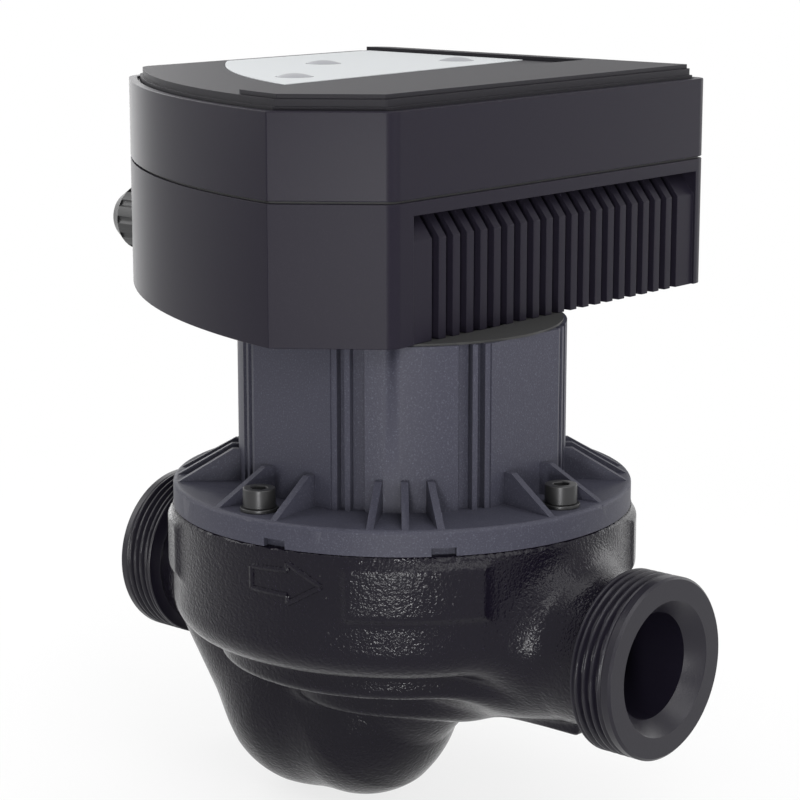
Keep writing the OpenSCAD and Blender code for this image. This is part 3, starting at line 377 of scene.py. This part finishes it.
@dataclass(frozen=True)
class Disc:
    """Upright disc with rounded edges."""

    radius: float
    low: float
    high: float
    edge: float

    def form(self, points: Points) -> np.ndarray:
        """Distance field of the disc.

        Args:
            points: Rows of places.

        Returns:
            Distance to the disc's surface, negative inside.
        """
        across = np.hypot(points[:, 0], points[:, 1]) - (self.radius - self.edge)
        along = np.abs(points[:, 2] - (self.low + self.high) / 2) - ((self.high - self.low) / 2 - self.edge)
        outside = np.hypot(np.maximum(across, 0), np.maximum(along, 0))
        return outside + np.minimum(np.maximum(across, along), 0) - self.edge


class Form:
    """Distance fields of simple bodies; every one is negative inside and in millimetres."""

    @staticmethod
    def tube(points: Points, start: Spot, end: Spot, r0: float, r1: float) -> np.ndarray:
        """Round-ended bar whose radius changes evenly along it.

        Args:
            points: Rows of places.
            start: Middle of the first end.
            end: Middle of the last end.
            r0: Radius at the first end.
            r1: Radius at the last end.

        Returns:
            The bar's distance field.
        """
        a, run = np.array(start), np.array(end) - np.array(start)
        share = np.clip((points - a) @ run / (run @ run), 0, 1)
        return np.linalg.norm(points - a - share[:, None] * run, axis=1) - (r0 + (r1 - r0) * share)

    @staticmethod
    def level_bar(points: Points, x0: float, x1: float, radii: Sequence[tuple[float, float]]) -> np.ndarray:
        """Flat-ended bar along X.

        Args:
            points: Rows of places.
            x0: Its lower end.
            x1: Its upper end.
            radii: Pairs of x and radius, where the radius changes its slope.

        Returns:
            The bar's distance field.
        """
        radius = np.interp(points[:, 0], [x for x, _ in radii], [r for _, r in radii])
        across = np.hypot(points[:, 1], points[:, 2]) - radius
        return np.maximum(across, np.maximum(x0 - points[:, 0], points[:, 0] - x1))

    @staticmethod
    def block(points: Points, low: Sequence[float], high: Sequence[float]) -> np.ndarray:
        """Box between two corners.

        Args:
            points: Rows of places.
            low: The corner with the lowest numbers.
            high: The corner with the highest.

        Returns:
            The box's distance field.
        """
        centre, half = (np.array(low) + high) / 2, (np.array(high) - low) / 2
        gap = np.abs(points - centre) - half
        return np.linalg.norm(np.maximum(gap, 0), axis=1) + np.minimum(gap.max(axis=1), 0)

    @staticmethod
    def join(a: np.ndarray, b: np.ndarray, fillet: float) -> np.ndarray:
        """Union of two bodies with a fillet of about that size."""
        share = np.clip(0.5 + 0.5 * (b - a) / fillet, 0, 1)
        return b * (1 - share) + a * share - fillet * share * (1 - share)

    @staticmethod
    def cut(body: np.ndarray, hollows: Iterable[np.ndarray]) -> np.ndarray:
        """What is left of a body outside the hollows.

        Args:
            body: The body's field.
            hollows: The hollows' fields.

        Returns:
            The field of the rest.
        """
        for hollow in hollows:
            body = np.maximum(body, -hollow)
        return body


@dataclass
class Skin:
    """Mesh of a distance field's surface, one point in each cell that the surface crosses."""

    form: Field
    low: Sequence[float]
    high: Sequence[float]
    step: float
    rounds: int = 3
    probe: float = 0.05
    least_slope: float = 0.25
    stride_share: float = 0.5

    def _grid(self) -> np.ndarray:
        """The field's values on a regular grid.

        Returns:
            An array with an axis for each direction.
        """
        axes = [np.arange(a, b + self.step, self.step) for a, b in zip(self.low, self.high)]
        nodes = np.stack(np.meshgrid(*axes, indexing="ij"), axis=-1)
        return self.form(nodes.reshape(-1, 3)).reshape(nodes.shape[:3])

    @staticmethod
    def _crossed(values: np.ndarray, axis: int) -> tuple[list[np.ndarray], np.ndarray, np.ndarray]:
        """Find the grid's edges along one axis that the surface crosses.

        Args:
            values: The field on the grid.
            axis: The number of the axis.

        Returns:
            The four cells round each edge, where the surface crosses it, and whether it starts inside.
        """
        lower = np.take(values, range(values.shape[axis] - 1), axis)
        upper = np.take(values, range(1, values.shape[axis]), axis)
        edges = np.argwhere((lower < 0) != (upper < 0))
        below, above = lower[tuple(edges.T)], upper[tuple(edges.T)]
        spots = edges.astype(float)
        spots[:, axis] += below / (below - above)
        ring = []
        for du, dv in ((0, 0), (-1, 0), (-1, -1), (0, -1)):
            cell = edges.copy()
            cell[:, (axis + 1) % 3] += du
            cell[:, (axis + 2) % 3] += dv
            ring.append(cell)
        return ring, spots, below < 0

    def build(self) -> tuple[Points, np.ndarray]:
        """Find the surface.

        Returns:
            Points in millimetres, and quads as rows of four point numbers.
        """
        values = self._grid()
        cells = np.array(values.shape) - 1
        total = np.zeros((*cells, 3))
        count = np.zeros(cells, dtype=int)
        crossings = [self._crossed(values, axis) for axis in range(3)]
        for ring, spots, _ in crossings:
            for cell in ring:
                np.add.at(total, tuple(cell.T), spots)
                np.add.at(count, tuple(cell.T), 1)
        number = np.cumsum(count.ravel() > 0).reshape(cells) - 1
        quads = []
        for ring, _, outward in crossings:
            corners = np.stack([number[tuple(cell.T)] for cell in ring], axis=1)
            quads.append(np.where(outward[:, None], corners, corners[:, ::-1]))
        used = count > 0
        points = total[used] / count[used][:, None] * self.step + np.array(self.low)
        return self._settle(points), np.concatenate(quads)

    def _settle(self, points: Points) -> Points:
        """Move points along the field's slope onto the surface.

        Args:
            points: Points near the surface.

        Returns:
            The moved points.
        """
        for _ in range(self.rounds):
            here = self.form(points)
            slope = np.stack([(self.form(points + self.probe * axis) - here) / self.probe
                              for axis in np.eye(3)], axis=1)
            steepness = np.maximum((slope**2).sum(axis=1), self.least_slope)
            move = here[:, None] * slope / steepness[:, None]
            length = np.maximum(np.linalg.norm(move, axis=1, keepdims=True), TINY)
            points = points - move * np.minimum(1, self.stride_share * self.step / length)
        return points


def ring_quads(rows: int, around: int) -> Iterator[Quad]:
    """Quads of a tube's wall whose points are numbered ring by ring.

    Args:
        rows: How many rings there are.
        around: How many points each has.

    Yields:
        The quad's corners, two of one ring and then two of the next, the other way round.
    """
    for here in range(0, (rows - 1) * around, around):
        there = here + around
        for k in range(around):
            after = (k + 1) % around
            yield here + k, here + after, there + after, there + k


@dataclass(frozen=True)
class Softening:
    """How a solid's edges are broken."""

    width_mm: float
    segments: int = 2
    merge_mm: float = 0.004
    flat_deg: float = 0.6
    edge_deg: float = 28.0
    shade_deg: float = 35.0
    profile: float = 0.5
    face_weight: int = 100

    def mesh(self, solid: bpy.types.Mesh, name: str) -> bpy.types.Mesh:
        """Copy a solid's mesh with broken edges.

        Args:
            solid: The solid's own mesh, which stays as it is.
            name: The copy's name.

        Returns:
            The copy.
        """
        work = bmesh.new()
        work.from_mesh(solid)
        bmesh.ops.remove_doubles(work, verts=work.verts, dist=self.merge_mm * MM)
        flat = math.radians(self.flat_deg)
        bmesh.ops.dissolve_limit(work, angle_limit=flat, verts=work.verts, edges=work.edges)
        least = math.radians(self.edge_deg)
        edges = [e for e in work.edges if len(e.link_faces) == 2 and e.calc_face_angle(0) > least]
        bmesh.ops.bevel(work, geom=edges, offset=self.width_mm * MM, offset_type="OFFSET",
                        segments=self.segments, profile=self.profile, affect="EDGES", clamp_overlap=True)
        copy = bpy.data.meshes.new(name)
        work.to_mesh(copy)
        work.free()
        return copy


class Workshop:
    """Makes pieces from meshes and solids and gives them their finish and their body."""

    def __init__(self, frame: dict[str, Any]) -> None:
        """Read the frame's record and make one material for each finish.
        """
        record = frame["record"]
        self.nodes = frame["nodes"]
        self.slot_of = {part["node"]: part["material_slot"] for part in record["subparts"]}
        bodies = record["behaviour"]["bodies"]
        self.body_of = {node: body for body, nodes in bodies.items() for node in nodes}
        mounts = {mount["name"]: mount for mount in record["mounts"]}
        self.shaft_x = mounts["outlet_face"]["pos_m"][0] / MM / 2
        self.materials = {name: finish.shader(name).material for name, finish in FINISHES.items()}

    def mesh(self, name: str, points: Points, faces: Iterable[Sequence[int]],
             sharp_deg: float) -> bpy.types.Mesh:
        """Make a mesh in the frame's axes.

        Args:
            name: The mesh's name.
            points: Millimetres about the shaft's axis.
            faces: Rows of point numbers.
            sharp_deg: Edges that turn more than this stay sharp.

        Returns:
            The mesh, smooth between its sharp edges.
        """
        mesh = bpy.data.meshes.new(name)
        shifted = (np.asarray(points, dtype=float) + (self.shaft_x, 0, 0)) * MM
        mesh.from_pydata(shifted.tolist(), [], [list(map(int, face)) for face in faces])
        mesh.validate()
        self.smooth(mesh, sharp_deg)
        return mesh

    @staticmethod
    def smooth(mesh: bpy.types.Mesh, sharp_deg: float) -> None:
        """Shade a mesh smooth, with sharp edges above an angle.

        Args:
            mesh: The mesh.
            sharp_deg: The angle.
        """
        mesh.polygons.foreach_set("use_smooth", [True] * len(mesh.polygons))
        mesh.set_sharp_from_angle(angle=math.radians(sharp_deg))
        mesh.update()

    def piece(self, mesh: bpy.types.Mesh, body: str, slot: str, finish: str = "") -> bpy.types.Object:
        """Put a mesh into the scene as a piece.

        Args:
            mesh: The mesh.
            body: The CAD body that it rides on.
            slot: The record's material slot that it takes its finish from.
            finish: Its finish, where that isn't the slot's own.

        Returns:
            The new object.
        """
        thing = bpy.data.objects.new(mesh.name, mesh)
        bpy.context.scene.collection.objects.link(thing)
        mesh.materials.append(self.materials[finish or slot])
        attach(thing, body)
        LOG.info("piece %s: %d faces, rides on %s", thing.name, len(mesh.polygons), body)
        return thing

    def soften(self, node: str, softening: Softening) -> None:
        """Stand a copy with broken edges in for a solid.

        Args:
            node: The solid's node.
            softening: How its edges are broken.
        """
        mesh = softening.mesh(self.nodes[node].data, node + "_soft")
        self.smooth(mesh, softening.shade_deg)
        thing = self.piece(mesh, self.body_of[node], self.slot_of[node])
        level = thing.modifiers.new("level_faces", "WEIGHTED_NORMAL")
        level.keep_sharp, level.weight = True, softening.face_weight
        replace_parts(thing, node)

    def dress(self, node: str) -> None:
        """Give a CAD solid its finish.

        Args:
            node: The solid's node.
        """
        solid = self.nodes[node]
        material = self.materials[self.slot_of[node]]
        if not solid.material_slots:
            solid.data.materials.append(material)
        for place in solid.material_slots:
            place.material = material


class Side(Enum):
    """The two ends of the port axis."""

    INLET = -1
    OUTLET = 1


@dataclass
class Union:
    """A pipe union turned about the port axis, with a rounded helical thread."""

    thread_r: float = 23.9
    pitch: float = 2.309
    depth: float = 1.42
    rim: float = 2.6
    turns: float = 4.0
    run_out: float = 0.4
    chamfer: float = 0.6
    cone_r: float = 17.6
    cone_depth: float = 4.4
    mouth_edge: tuple[float, float, float] = (0.25, 0.1, 0.2)
    face_edge: float = 0.05
    bore_r: float = 14.0
    neck_r: float = 19.4
    neck_root: float = 0.8
    back_edge: float = 0.3
    back_steps: tuple[float, float, float] = (0.25, 0.35, 0.9)
    inner_len: float = 26.0
    root_len: float = 3.0
    groove_start: float = 0.9
    groove_end: float = 0.6
    groove_gain: float = 1.12
    crest_flat: float = 0.06
    rows: int = 70
    around: int = 160

    @property
    def threaded(self) -> float:
        """Depth behind the face at which the last turn ends."""
        return self.rim + self.turns * self.pitch

    def outline(self) -> list[tuple[float, float]]:
        """The turned outline, from the bore's far end round to the neck.

        Returns:
            Pairs of depth behind the face and radius.
        """
        end = self.threaded + self.run_out
        inset, inward, outward = self.mouth_edge
        inner = [(self.inner_len, self.bore_r), (self.cone_depth, self.bore_r),
                 (inset, self.cone_r - inward), (0.0, self.cone_r + outward)]
        face_r = self.thread_r - self.chamfer
        face = [(0.0, face_r - self.face_edge), (self.face_edge, face_r)]
        thread = [(depth, self.thread_r) for depth in np.linspace(self.chamfer, end, self.rows)]
        first, second, third = self.back_steps
        back = [(end + first, self.thread_r - self.back_edge), (end + second, self.neck_r + self.neck_root),
                (end + third, self.neck_r), (end + self.root_len, self.neck_r)]
        return inner + face + thread + back

    def groove(self, behind: np.ndarray, turn: np.ndarray) -> np.ndarray:
        """Depth of the thread's groove at a place.

        Args:
            behind: How far the place lies behind the face.
            turn: Its share of a turn round the axis.

        Returns:
            The depth, nought at the thread's crest.
        """
        wave = 0.5 - 0.5 * np.cos(2 * math.pi * ((behind - self.rim) / self.pitch - turn))
        start = np.clip((behind - self.rim) / self.groove_start, 0, 1)
        stop = np.clip((self.threaded - behind) / self.groove_end, 0, 1)
        return self.depth * np.clip(wave * self.groove_gain - self.crest_flat, 0, 1) * start * stop

    def shape(self, side: Side, face_x: float) -> tuple[Points, list[Quad]]:
        """Turn the union.

        Args:
            side: The end of the port axis that it stands at.
            face_x: Where its sealing face lies.

        Returns:
            Points, and faces as rows of point numbers.
        """
        outline = np.array(self.outline())
        turn = np.arange(self.around) / self.around
        behind, angle = np.meshgrid(outline[:, 0], turn, indexing="ij")
        radius = np.repeat(outline[:, 1:2], self.around, axis=1)
        radius = radius - self.groove(behind, angle) * (radius >= self.thread_r)
        theta = 2 * math.pi * angle
        along = face_x - side.value * behind
        points = np.stack([along, radius * np.cos(theta), radius * np.sin(theta)], axis=-1)
        quads = ring_quads(len(outline), self.around)
        return points.reshape(-1, 3), [quad if side is Side.INLET else quad[::-1] for quad in quads]


@dataclass
class Casting:
    """The casing as one cast skin with fillets, and the hollows that water and bearings take.

    The belly's shell and the inlet's water path are lists of x, z and radius at each bend.
    """

    port_x: float
    drum_foot: Disc = Disc(63.0, -4.0, 20.0, 9.0)
    drum: Disc = Disc(63.0, 8.0, 30.2, 0.7)
    pad: Disc = Disc(64.3, 13.5, 27.5, 1.0)
    pad_half_deg: float = 16.0
    pad_end_slope: float = 0.3
    tier: Disc = Disc(50.5, -12.0, 8.0, 2.4)
    boss: Disc = Disc(31.0, -23.6, 6.0, 2.4)
    shell_path: tuple[Spot, ...] = ((-62.0, -3.0, 22.4), (-30.5, -30.3, 28.5),
                                    (-13.7, -31.2, 26.0), (0.0, -21.0, 20.6))
    water_path: tuple[Spot, ...] = ((-64.0, 0.0, 14.4), (-44.0, -28.0, 12.5),
                                    (-14.0, -33.0, 13.5), (0.0, -24.0, 14.4))
    neck_r: float = 19.5
    neck_behind: float = 1.0
    inlet_neck_x: float = -49.0
    outlet_x: float = 20.0
    outlet_root: tuple[float, float] = (30.0, 24.5)
    outlet_neck_x: float = 63.0
    web_x: tuple[float, float] = (17.0, 63.0)
    web_z: tuple[float, float] = (-22.6, -5.0)
    web_half: float = 2.2
    web_edge: float = 0.8
    pad_fillet: float = 1.8
    tier_fillet: float = 2.6
    bend_fillet: float = 3.0
    belly_fillet: float = 3.6
    inlet_fillet: float = 5.0
    outlet_fillet: float = 11.0
    register: Disc = Disc(50.2, 18.0, 40.0, 0.2)
    chamber: Disc = Disc(37.0, -7.0, 30.0, 0.2)
    ring_seat: Disc = Disc(18.5, -13.0, 0.0, 0.2)
    eye: Disc = Disc(14.0, -24.0, 0.0, 0.2)
    spiral_r: tuple[float, float] = (39.0, 55.0)
    spiral_z: tuple[float, float] = (0.5, 13.0)
    spiral_deg: float = 22.0
    passage_r: float = 14.4
    outlet_passage_x: float = 52.0
    side_reach: float = 68.0
    lowest: float = -62.0
    headroom: float = 2.0
    step: float = 1.05
    skin_deg: float = 50.0
    union_deg: float = 38.0
    union: Union = field(default_factory=Union)

    @staticmethod
    def bent_run(p: Points, path: Sequence[Spot], fillet: float = 0.0) -> np.ndarray:
        """Bars one after another along a path in the XZ plane.

        Args:
            p: Rows of places.
            path: x, z and radius at each bend.
            fillet: Size of the fillets between the bars, or nought for none.

        Returns:
            The field of the whole run.
        """
        bars = [Form.tube(p, (x0, 0.0, z0), (x1, 0.0, z1), r0, r1)
                for (x0, z0, r0), (x1, z1, r1) in zip(path, path[1:])]
        whole = bars[0]
        for bar in bars[1:]:
            whole = Form.join(whole, bar, fillet) if fillet else np.minimum(whole, bar)
        return whole

    def pads(self, p: Points) -> np.ndarray:
        """Four pads that stand a little out of the drum between the flange screws.

        Args:
            p: Rows of places.

        Returns:
            The pads' field.
        """
        radius, angle = np.hypot(p[:, 0], p[:, 1]), np.degrees(np.arctan2(p[:, 1], p[:, 0]))
        aside = np.abs(np.mod(angle, 90.0) - 45.0) - self.pad_half_deg
        return np.maximum(self.pad.form(p), np.radians(aside) * radius * self.pad_end_slope)

    def necks(self, p: Points) -> tuple[np.ndarray, np.ndarray]:
        """The necks that carry the two unions.

        Args:
            p: Rows of places.

        Returns:
            The inlet's field and the outlet's.
        """
        back = self.port_x - self.union.threaded - self.neck_behind
        inlet = Form.level_bar(p, -back, self.inlet_neck_x, [(-back, self.neck_r)])
        radii = [self.outlet_root, (self.outlet_neck_x, self.neck_r)]
        return inlet, Form.level_bar(p, self.outlet_x, back, radii)

    def outside(self, p: Points) -> np.ndarray:
        """The casting without its hollows.

        Args:
            p: Rows of places.

        Returns:
            Its field.
        """
        drum = np.minimum(self.drum_foot.form(p), self.drum.form(p))
        body = Form.join(drum, self.pads(p), self.pad_fillet)
        for disc in (self.tier, self.boss):
            body = Form.join(body, disc.form(p), self.tier_fillet)
        inlet, outlet = self.necks(p)
        belly = Form.join(self.bent_run(p, self.shell_path, self.bend_fillet), inlet, self.inlet_fillet)
        body = Form.join(Form.join(body, belly, self.belly_fillet), outlet, self.outlet_fillet)
        low, high = zip(self.web_x, (-self.web_half, self.web_half), self.web_z)
        web = Form.block(p, low, high) - self.web_edge
        return np.maximum(Form.join(body, web, self.tier_fillet), p[:, 2] - self.drum.high)

    def spiral(self, p: Points) -> np.ndarray:
        """The passage that widens round the chamber.

        Args:
            p: Rows of places.

        Returns:
            Its field.
        """
        radius, angle = np.hypot(p[:, 0], p[:, 1]), np.arctan2(p[:, 1], p[:, 0])
        share = np.mod(angle - math.radians(self.spiral_deg), 2 * math.pi) / (2 * math.pi)
        (inner, outer), (floor, top) = self.spiral_r, self.spiral_z
        beyond = np.abs(p[:, 2] - (floor + top) / 2) - (top - floor) / 2
        return np.maximum(radius - (inner + (outer - inner) * share), beyond)

    def hollows(self, p: Points) -> list[np.ndarray]:
        """Bearing seat, chamber, spiral, ring seat and water passages.

        Args:
            p: Rows of places.

        Returns:
            The field of each.
        """
        level = np.hypot(p[:, 1], p[:, 2]) - self.passage_r
        round_ones = [disc.form(p) for disc in (self.register, self.chamber, self.ring_seat, self.eye)]
        passages = [np.maximum(level, p[:, 0] - self.water_path[0][0]),
                    np.maximum(level, self.outlet_passage_x - p[:, 0])]
        return [*round_ones, self.spiral(p), self.bent_run(p, self.water_path), *passages]

    def form(self, p: Points) -> np.ndarray:
        """The whole casting's distance field."""
        return Form.cut(self.outside(p), self.hollows(p))

    def build(self, shop: Workshop) -> None:
        """Cast the skin, turn both unions and stand them in for the solid.

        Args:
            shop: The workshop.
        """
        low = (-self.port_x, -self.side_reach, self.lowest)
        high = (self.port_x, self.side_reach, self.drum.high + self.headroom)
        points, quads = Skin(self.form, low, high, self.step).build()
        skin = shop.mesh("cast_casing", points, quads, self.skin_deg)
        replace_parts(shop.piece(skin, "pump_body", "casing_enamel"), "pump_casing")
        for side in Side:
            points, faces = self.union.shape(side, side.value * self.port_x)
            ring = shop.mesh(f"{side.name.lower()}_union", points, faces, self.union_deg)
            piece = shop.piece(ring, "pump_body", "casing_enamel", "union_enamel")
            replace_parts(piece, "pump_casing")


@dataclass
class FlowArrow:
    """Plain outline arrow that stands out of the casing's wall and points along the flow."""

    wall_r: float = 63.0
    tail_deg: float = -86.0
    neck_deg: float = -75.8
    tip_deg: float = -67.2
    mid_z: float = 21.6
    bar_half: float = 2.9
    bar_flare: float = 0.4
    head_half: float = 5.4
    line: float = 0.9
    height: float = 0.55
    sink: float = 0.3
    steps: int = 10
    around: int = 8
    sharp_deg: float = 32.0

    def outline(self) -> list[tuple[float, float]]:
        """The arrow's corners.

        Returns:
            Pairs of angle in degrees and height.
        """
        z, tail, root = self.mid_z, self.bar_half, self.bar_half + self.bar_flare
        return [(self.tail_deg, z - tail), (self.neck_deg, z - root), (self.neck_deg, z - self.head_half),
                (self.tip_deg, z), (self.neck_deg, z + self.head_half), (self.neck_deg, z + root),
                (self.tail_deg, z + tail)]

    def bead(self, start: tuple[float, float], end: tuple[float, float]) -> Points:
        """Points of the rounded bead along one side of the outline.

        Args:
            start: Angle and height of the side's first corner.
            end: Those of its last.

        Returns:
            Rows of points, ring by ring.
        """
        (a0, z0), (a1, z1) = start, end
        share = np.linspace(0, 1, self.steps)
        run = np.array([math.radians(a1 - a0) * self.wall_r, z1 - z0])
        cross = np.array([-run[1], run[0]]) / np.linalg.norm(run)
        ring = np.arange(self.around) / self.around * 2 * math.pi
        side = np.cos(ring) * self.line
        r = self.wall_r + (np.sin(ring) * (self.height + self.sink) - self.sink)[None, :]
        theta = np.radians(a0 + (a1 - a0) * share)[:, None] + side[None, :] * cross[0] / self.wall_r
        z = (z0 + (z1 - z0) * share)[:, None] + side[None, :] * cross[1]
        return np.stack([r * np.cos(theta), r * np.sin(theta), z], axis=-1).reshape(-1, 3)

    def build(self, shop: Workshop) -> None:
        """Lay the beads round the outline as one piece.

        Args:
            shop: The workshop.
        """
        corners = self.outline()
        beads = [self.bead(start, end) for start, end in zip(corners, corners[1:] + corners[:1])]
        faces: list[tuple[int, ...]] = []
        for first in range(0, len(beads) * self.steps * self.around, self.steps * self.around):
            last = first + (self.steps - 1) * self.around
            faces += [(first + a, first + d, first + c, first + b)
                      for a, b, c, d in ring_quads(self.steps, self.around)]
            faces.append(tuple(range(first, first + self.around)))
            faces.append(tuple(reversed(range(last, last + self.around))))
        mesh = shop.mesh("flow_arrow", np.concatenate(beads), faces, self.sharp_deg)
        shop.piece(mesh, "pump_body", "casing_enamel")


@dataclass
class Shell:
    """Solids whose own shape is right: they get finishes, and broken edges where they show."""

    edges_mm: dict[str, float] = field(default_factory=lambda: {
        "motor_housing": 0.45, "electronics_base": 0.4, "electronics_cover": 0.5, "top_plate": 0.25,
        "raised_strip": 0.3, "keypad_film": 0.1, "flange_screws": 0.25, "flange_washers": 0.15,
        "gland_body": 0.3, "gland_nut": 0.3})

    def build(self, shop: Workshop) -> None:
        """Dress all the solids and soften the outer ones.

        Args:
            shop: The workshop.
        """
        for node in shop.nodes:
            shop.dress(node)
        for node, width in self.edges_mm.items():
            shop.soften(node, Softening(width))


@dataclass(frozen=True)
class Lamp:
    """One soft lamp that faces the pump; its place is in millimetres about the shaft's axis."""

    name: str
    place_mm: Spot
    width_m: float
    height_m: float
    watts: float
    aim_mm: float = 50.0

    def hang(self, shaft_x: float) -> None:
        """Hang the lamp.

        Args:
            shaft_x: Where the shaft's axis lies in the frame.
        """
        data = bpy.data.lights.new(self.name, "AREA")
        data.shape, data.energy = "RECTANGLE", self.watts
        data.size, data.size_y = self.width_m, self.height_m
        lamp = bpy.data.objects.new(self.name, data)
        lamp.location = (Vector(self.place_mm) + Vector((shaft_x, 0, 0))) * MM
        target = Vector((shaft_x, 0, self.aim_mm)) * MM
        lamp.rotation_euler = (target - lamp.location).to_track_quat("-Z", "Y").to_euler()
        bpy.context.scene.collection.objects.link(lamp)


@dataclass
class Studio:
    """Pale floor, soft lamps and the photograph's camera."""

    azimuth_deg: float = 41.86
    elevation_deg: float = 11.82
    camera_mm: Spot = (442.1, -494.3, 196.2)
    clip_m: tuple[float, float] = (0.01, 50.0)
    lens_px: float = 2479.7
    frame_px: float = 800.0
    sensor_mm: float = 36.0
    ambient: float = 0.45
    paper: Finish = Finish((0.86, 0.86, 0.86), roughness=0.9, specular=0.1)
    floor_half_m: float = 3.0
    fade_m: tuple[float, float] = (0.12, 0.5)
    glow_share: float = 0.78
    lamps: tuple[Lamp, ...] = (
        Lamp("left_bank", (-500.0, -250.0, 480.0), 0.3, 0.9, 3.0),
        Lamp("rear_left_bank", (-640.0, 330.0, 130.0), 0.25, 0.9, 1.2),
        Lamp("top_bank", (40.0, 60.0, 760.0), 0.6, 0.6, 2.0),
        Lamp("right_bank", (540.0, 60.0, 400.0), 0.25, 0.8, 1.8),
        Lamp("rear_right_bank", (200.0, 680.0, 60.0), 0.3, 0.7, 1.2),
        Lamp("upper_front_bank", (560.0, -360.0, 540.0), 0.3, 0.3, 1.8),
        Lamp("front_bank", (440.0, -575.0, 10.0), 0.08, 0.16, 3.0),
    )

    def camera(self, shaft_x: float) -> None:
        """Place the camera where the photograph was taken from.

        Args:
            shaft_x: Where the shaft's axis lies in the frame.
        """
        data = bpy.data.cameras.new("camera")
        data.sensor_width = self.sensor_mm
        data.lens = self.lens_px * self.sensor_mm / self.frame_px
        data.clip_start, data.clip_end = self.clip_m
        camera = bpy.data.objects.new("camera", data)
        camera.location = (Vector(self.camera_mm) + Vector((shaft_x, 0, 0))) * MM
        tilt, turn = math.radians(90 - self.elevation_deg), math.radians(self.azimuth_deg)
        camera.rotation_euler = Euler((tilt, 0, turn))
        bpy.context.scene.collection.objects.link(camera)
        bpy.context.scene.camera = camera

    def sky(self) -> None:
        """White all round for the eye, and a plain level of light."""
        world = bpy.data.worlds.new("sky")
        bpy.context.scene.world = world
        world.use_nodes = True
        nodes = Nodes(world.node_tree)
        light, white = (nodes.wire("ShaderNodeBackground", None, {"Color": WHITE, "Strength": strength})
                        for strength in (self.ambient, 1.0))
        nodes.add("ShaderNodeOutputWorld", None, {"Surface": nodes.mix(nodes.shown(), light, white)})

    def floor(self, height: float, shaft_x: float) -> None:
        """Lay the pale floor, which keeps the pump's shadow and fades to white.

        Args:
            height: The floor's height in metres.
            shaft_x: Where the shaft's axis lies in the frame.
        """
        mesh = bpy.data.meshes.new("floor")
        corners = [(shaft_x * MM + x * self.floor_half_m, y * self.floor_half_m, height)
                   for x, y in ((-1, -1), (1, -1), (1, 1), (-1, 1))]
        mesh.from_pydata(corners, [], [(0, 1, 2, 3)])
        shader = self.paper.shader("floor")
        away = shader.wire("ShaderNodeVectorMath", {"operation": "DISTANCE"},
                           {0: shader.place, 1: (shaft_x * MM, 0.0, height)}, "Value")
        share = shader.shown() * (away.between(*self.fade_m) * (1 - self.glow_share) + self.glow_share)
        glow = shader.wire("ShaderNodeEmission", None, {"Color": WHITE, "Strength": 1.0})
        shader.feed(shader.output, "Surface", shader.mix(share, shader.lit, glow))
        mesh.materials.append(shader.material)
        floor = bpy.data.objects.new("floor", mesh)
        bpy.context.scene.collection.objects.link(floor)
        floor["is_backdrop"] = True

    def build(self, shaft_x: float, lowest: float) -> None:
        """Set up camera, lamps, sky and floor.

        Args:
            shaft_x: Where the shaft's axis lies in the frame.
            lowest: Height of the pump's lowest point in metres.
        """
        bpy.context.scene.view_settings.view_transform = "Standard"
        self.camera(shaft_x)
        for lamp in self.lamps:
            lamp.hang(shaft_x)
        self.sky()
        self.floor(lowest, shaft_x)


def main() -> None:
    """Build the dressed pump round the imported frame."""
    logging.basicConfig(level=logging.INFO, format="%(name)s: %(message)s")
    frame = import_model()
    cad_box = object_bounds()
    shop = Workshop(frame)
    Shell().build(shop)
    Casting(port_x=shop.shaft_x).build(shop)
    FlowArrow().build(shop)
    Studio().build(shop.shaft_x, min(cad_box[0][2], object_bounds()[0][2]))


if __name__ == "__main__":
    main()
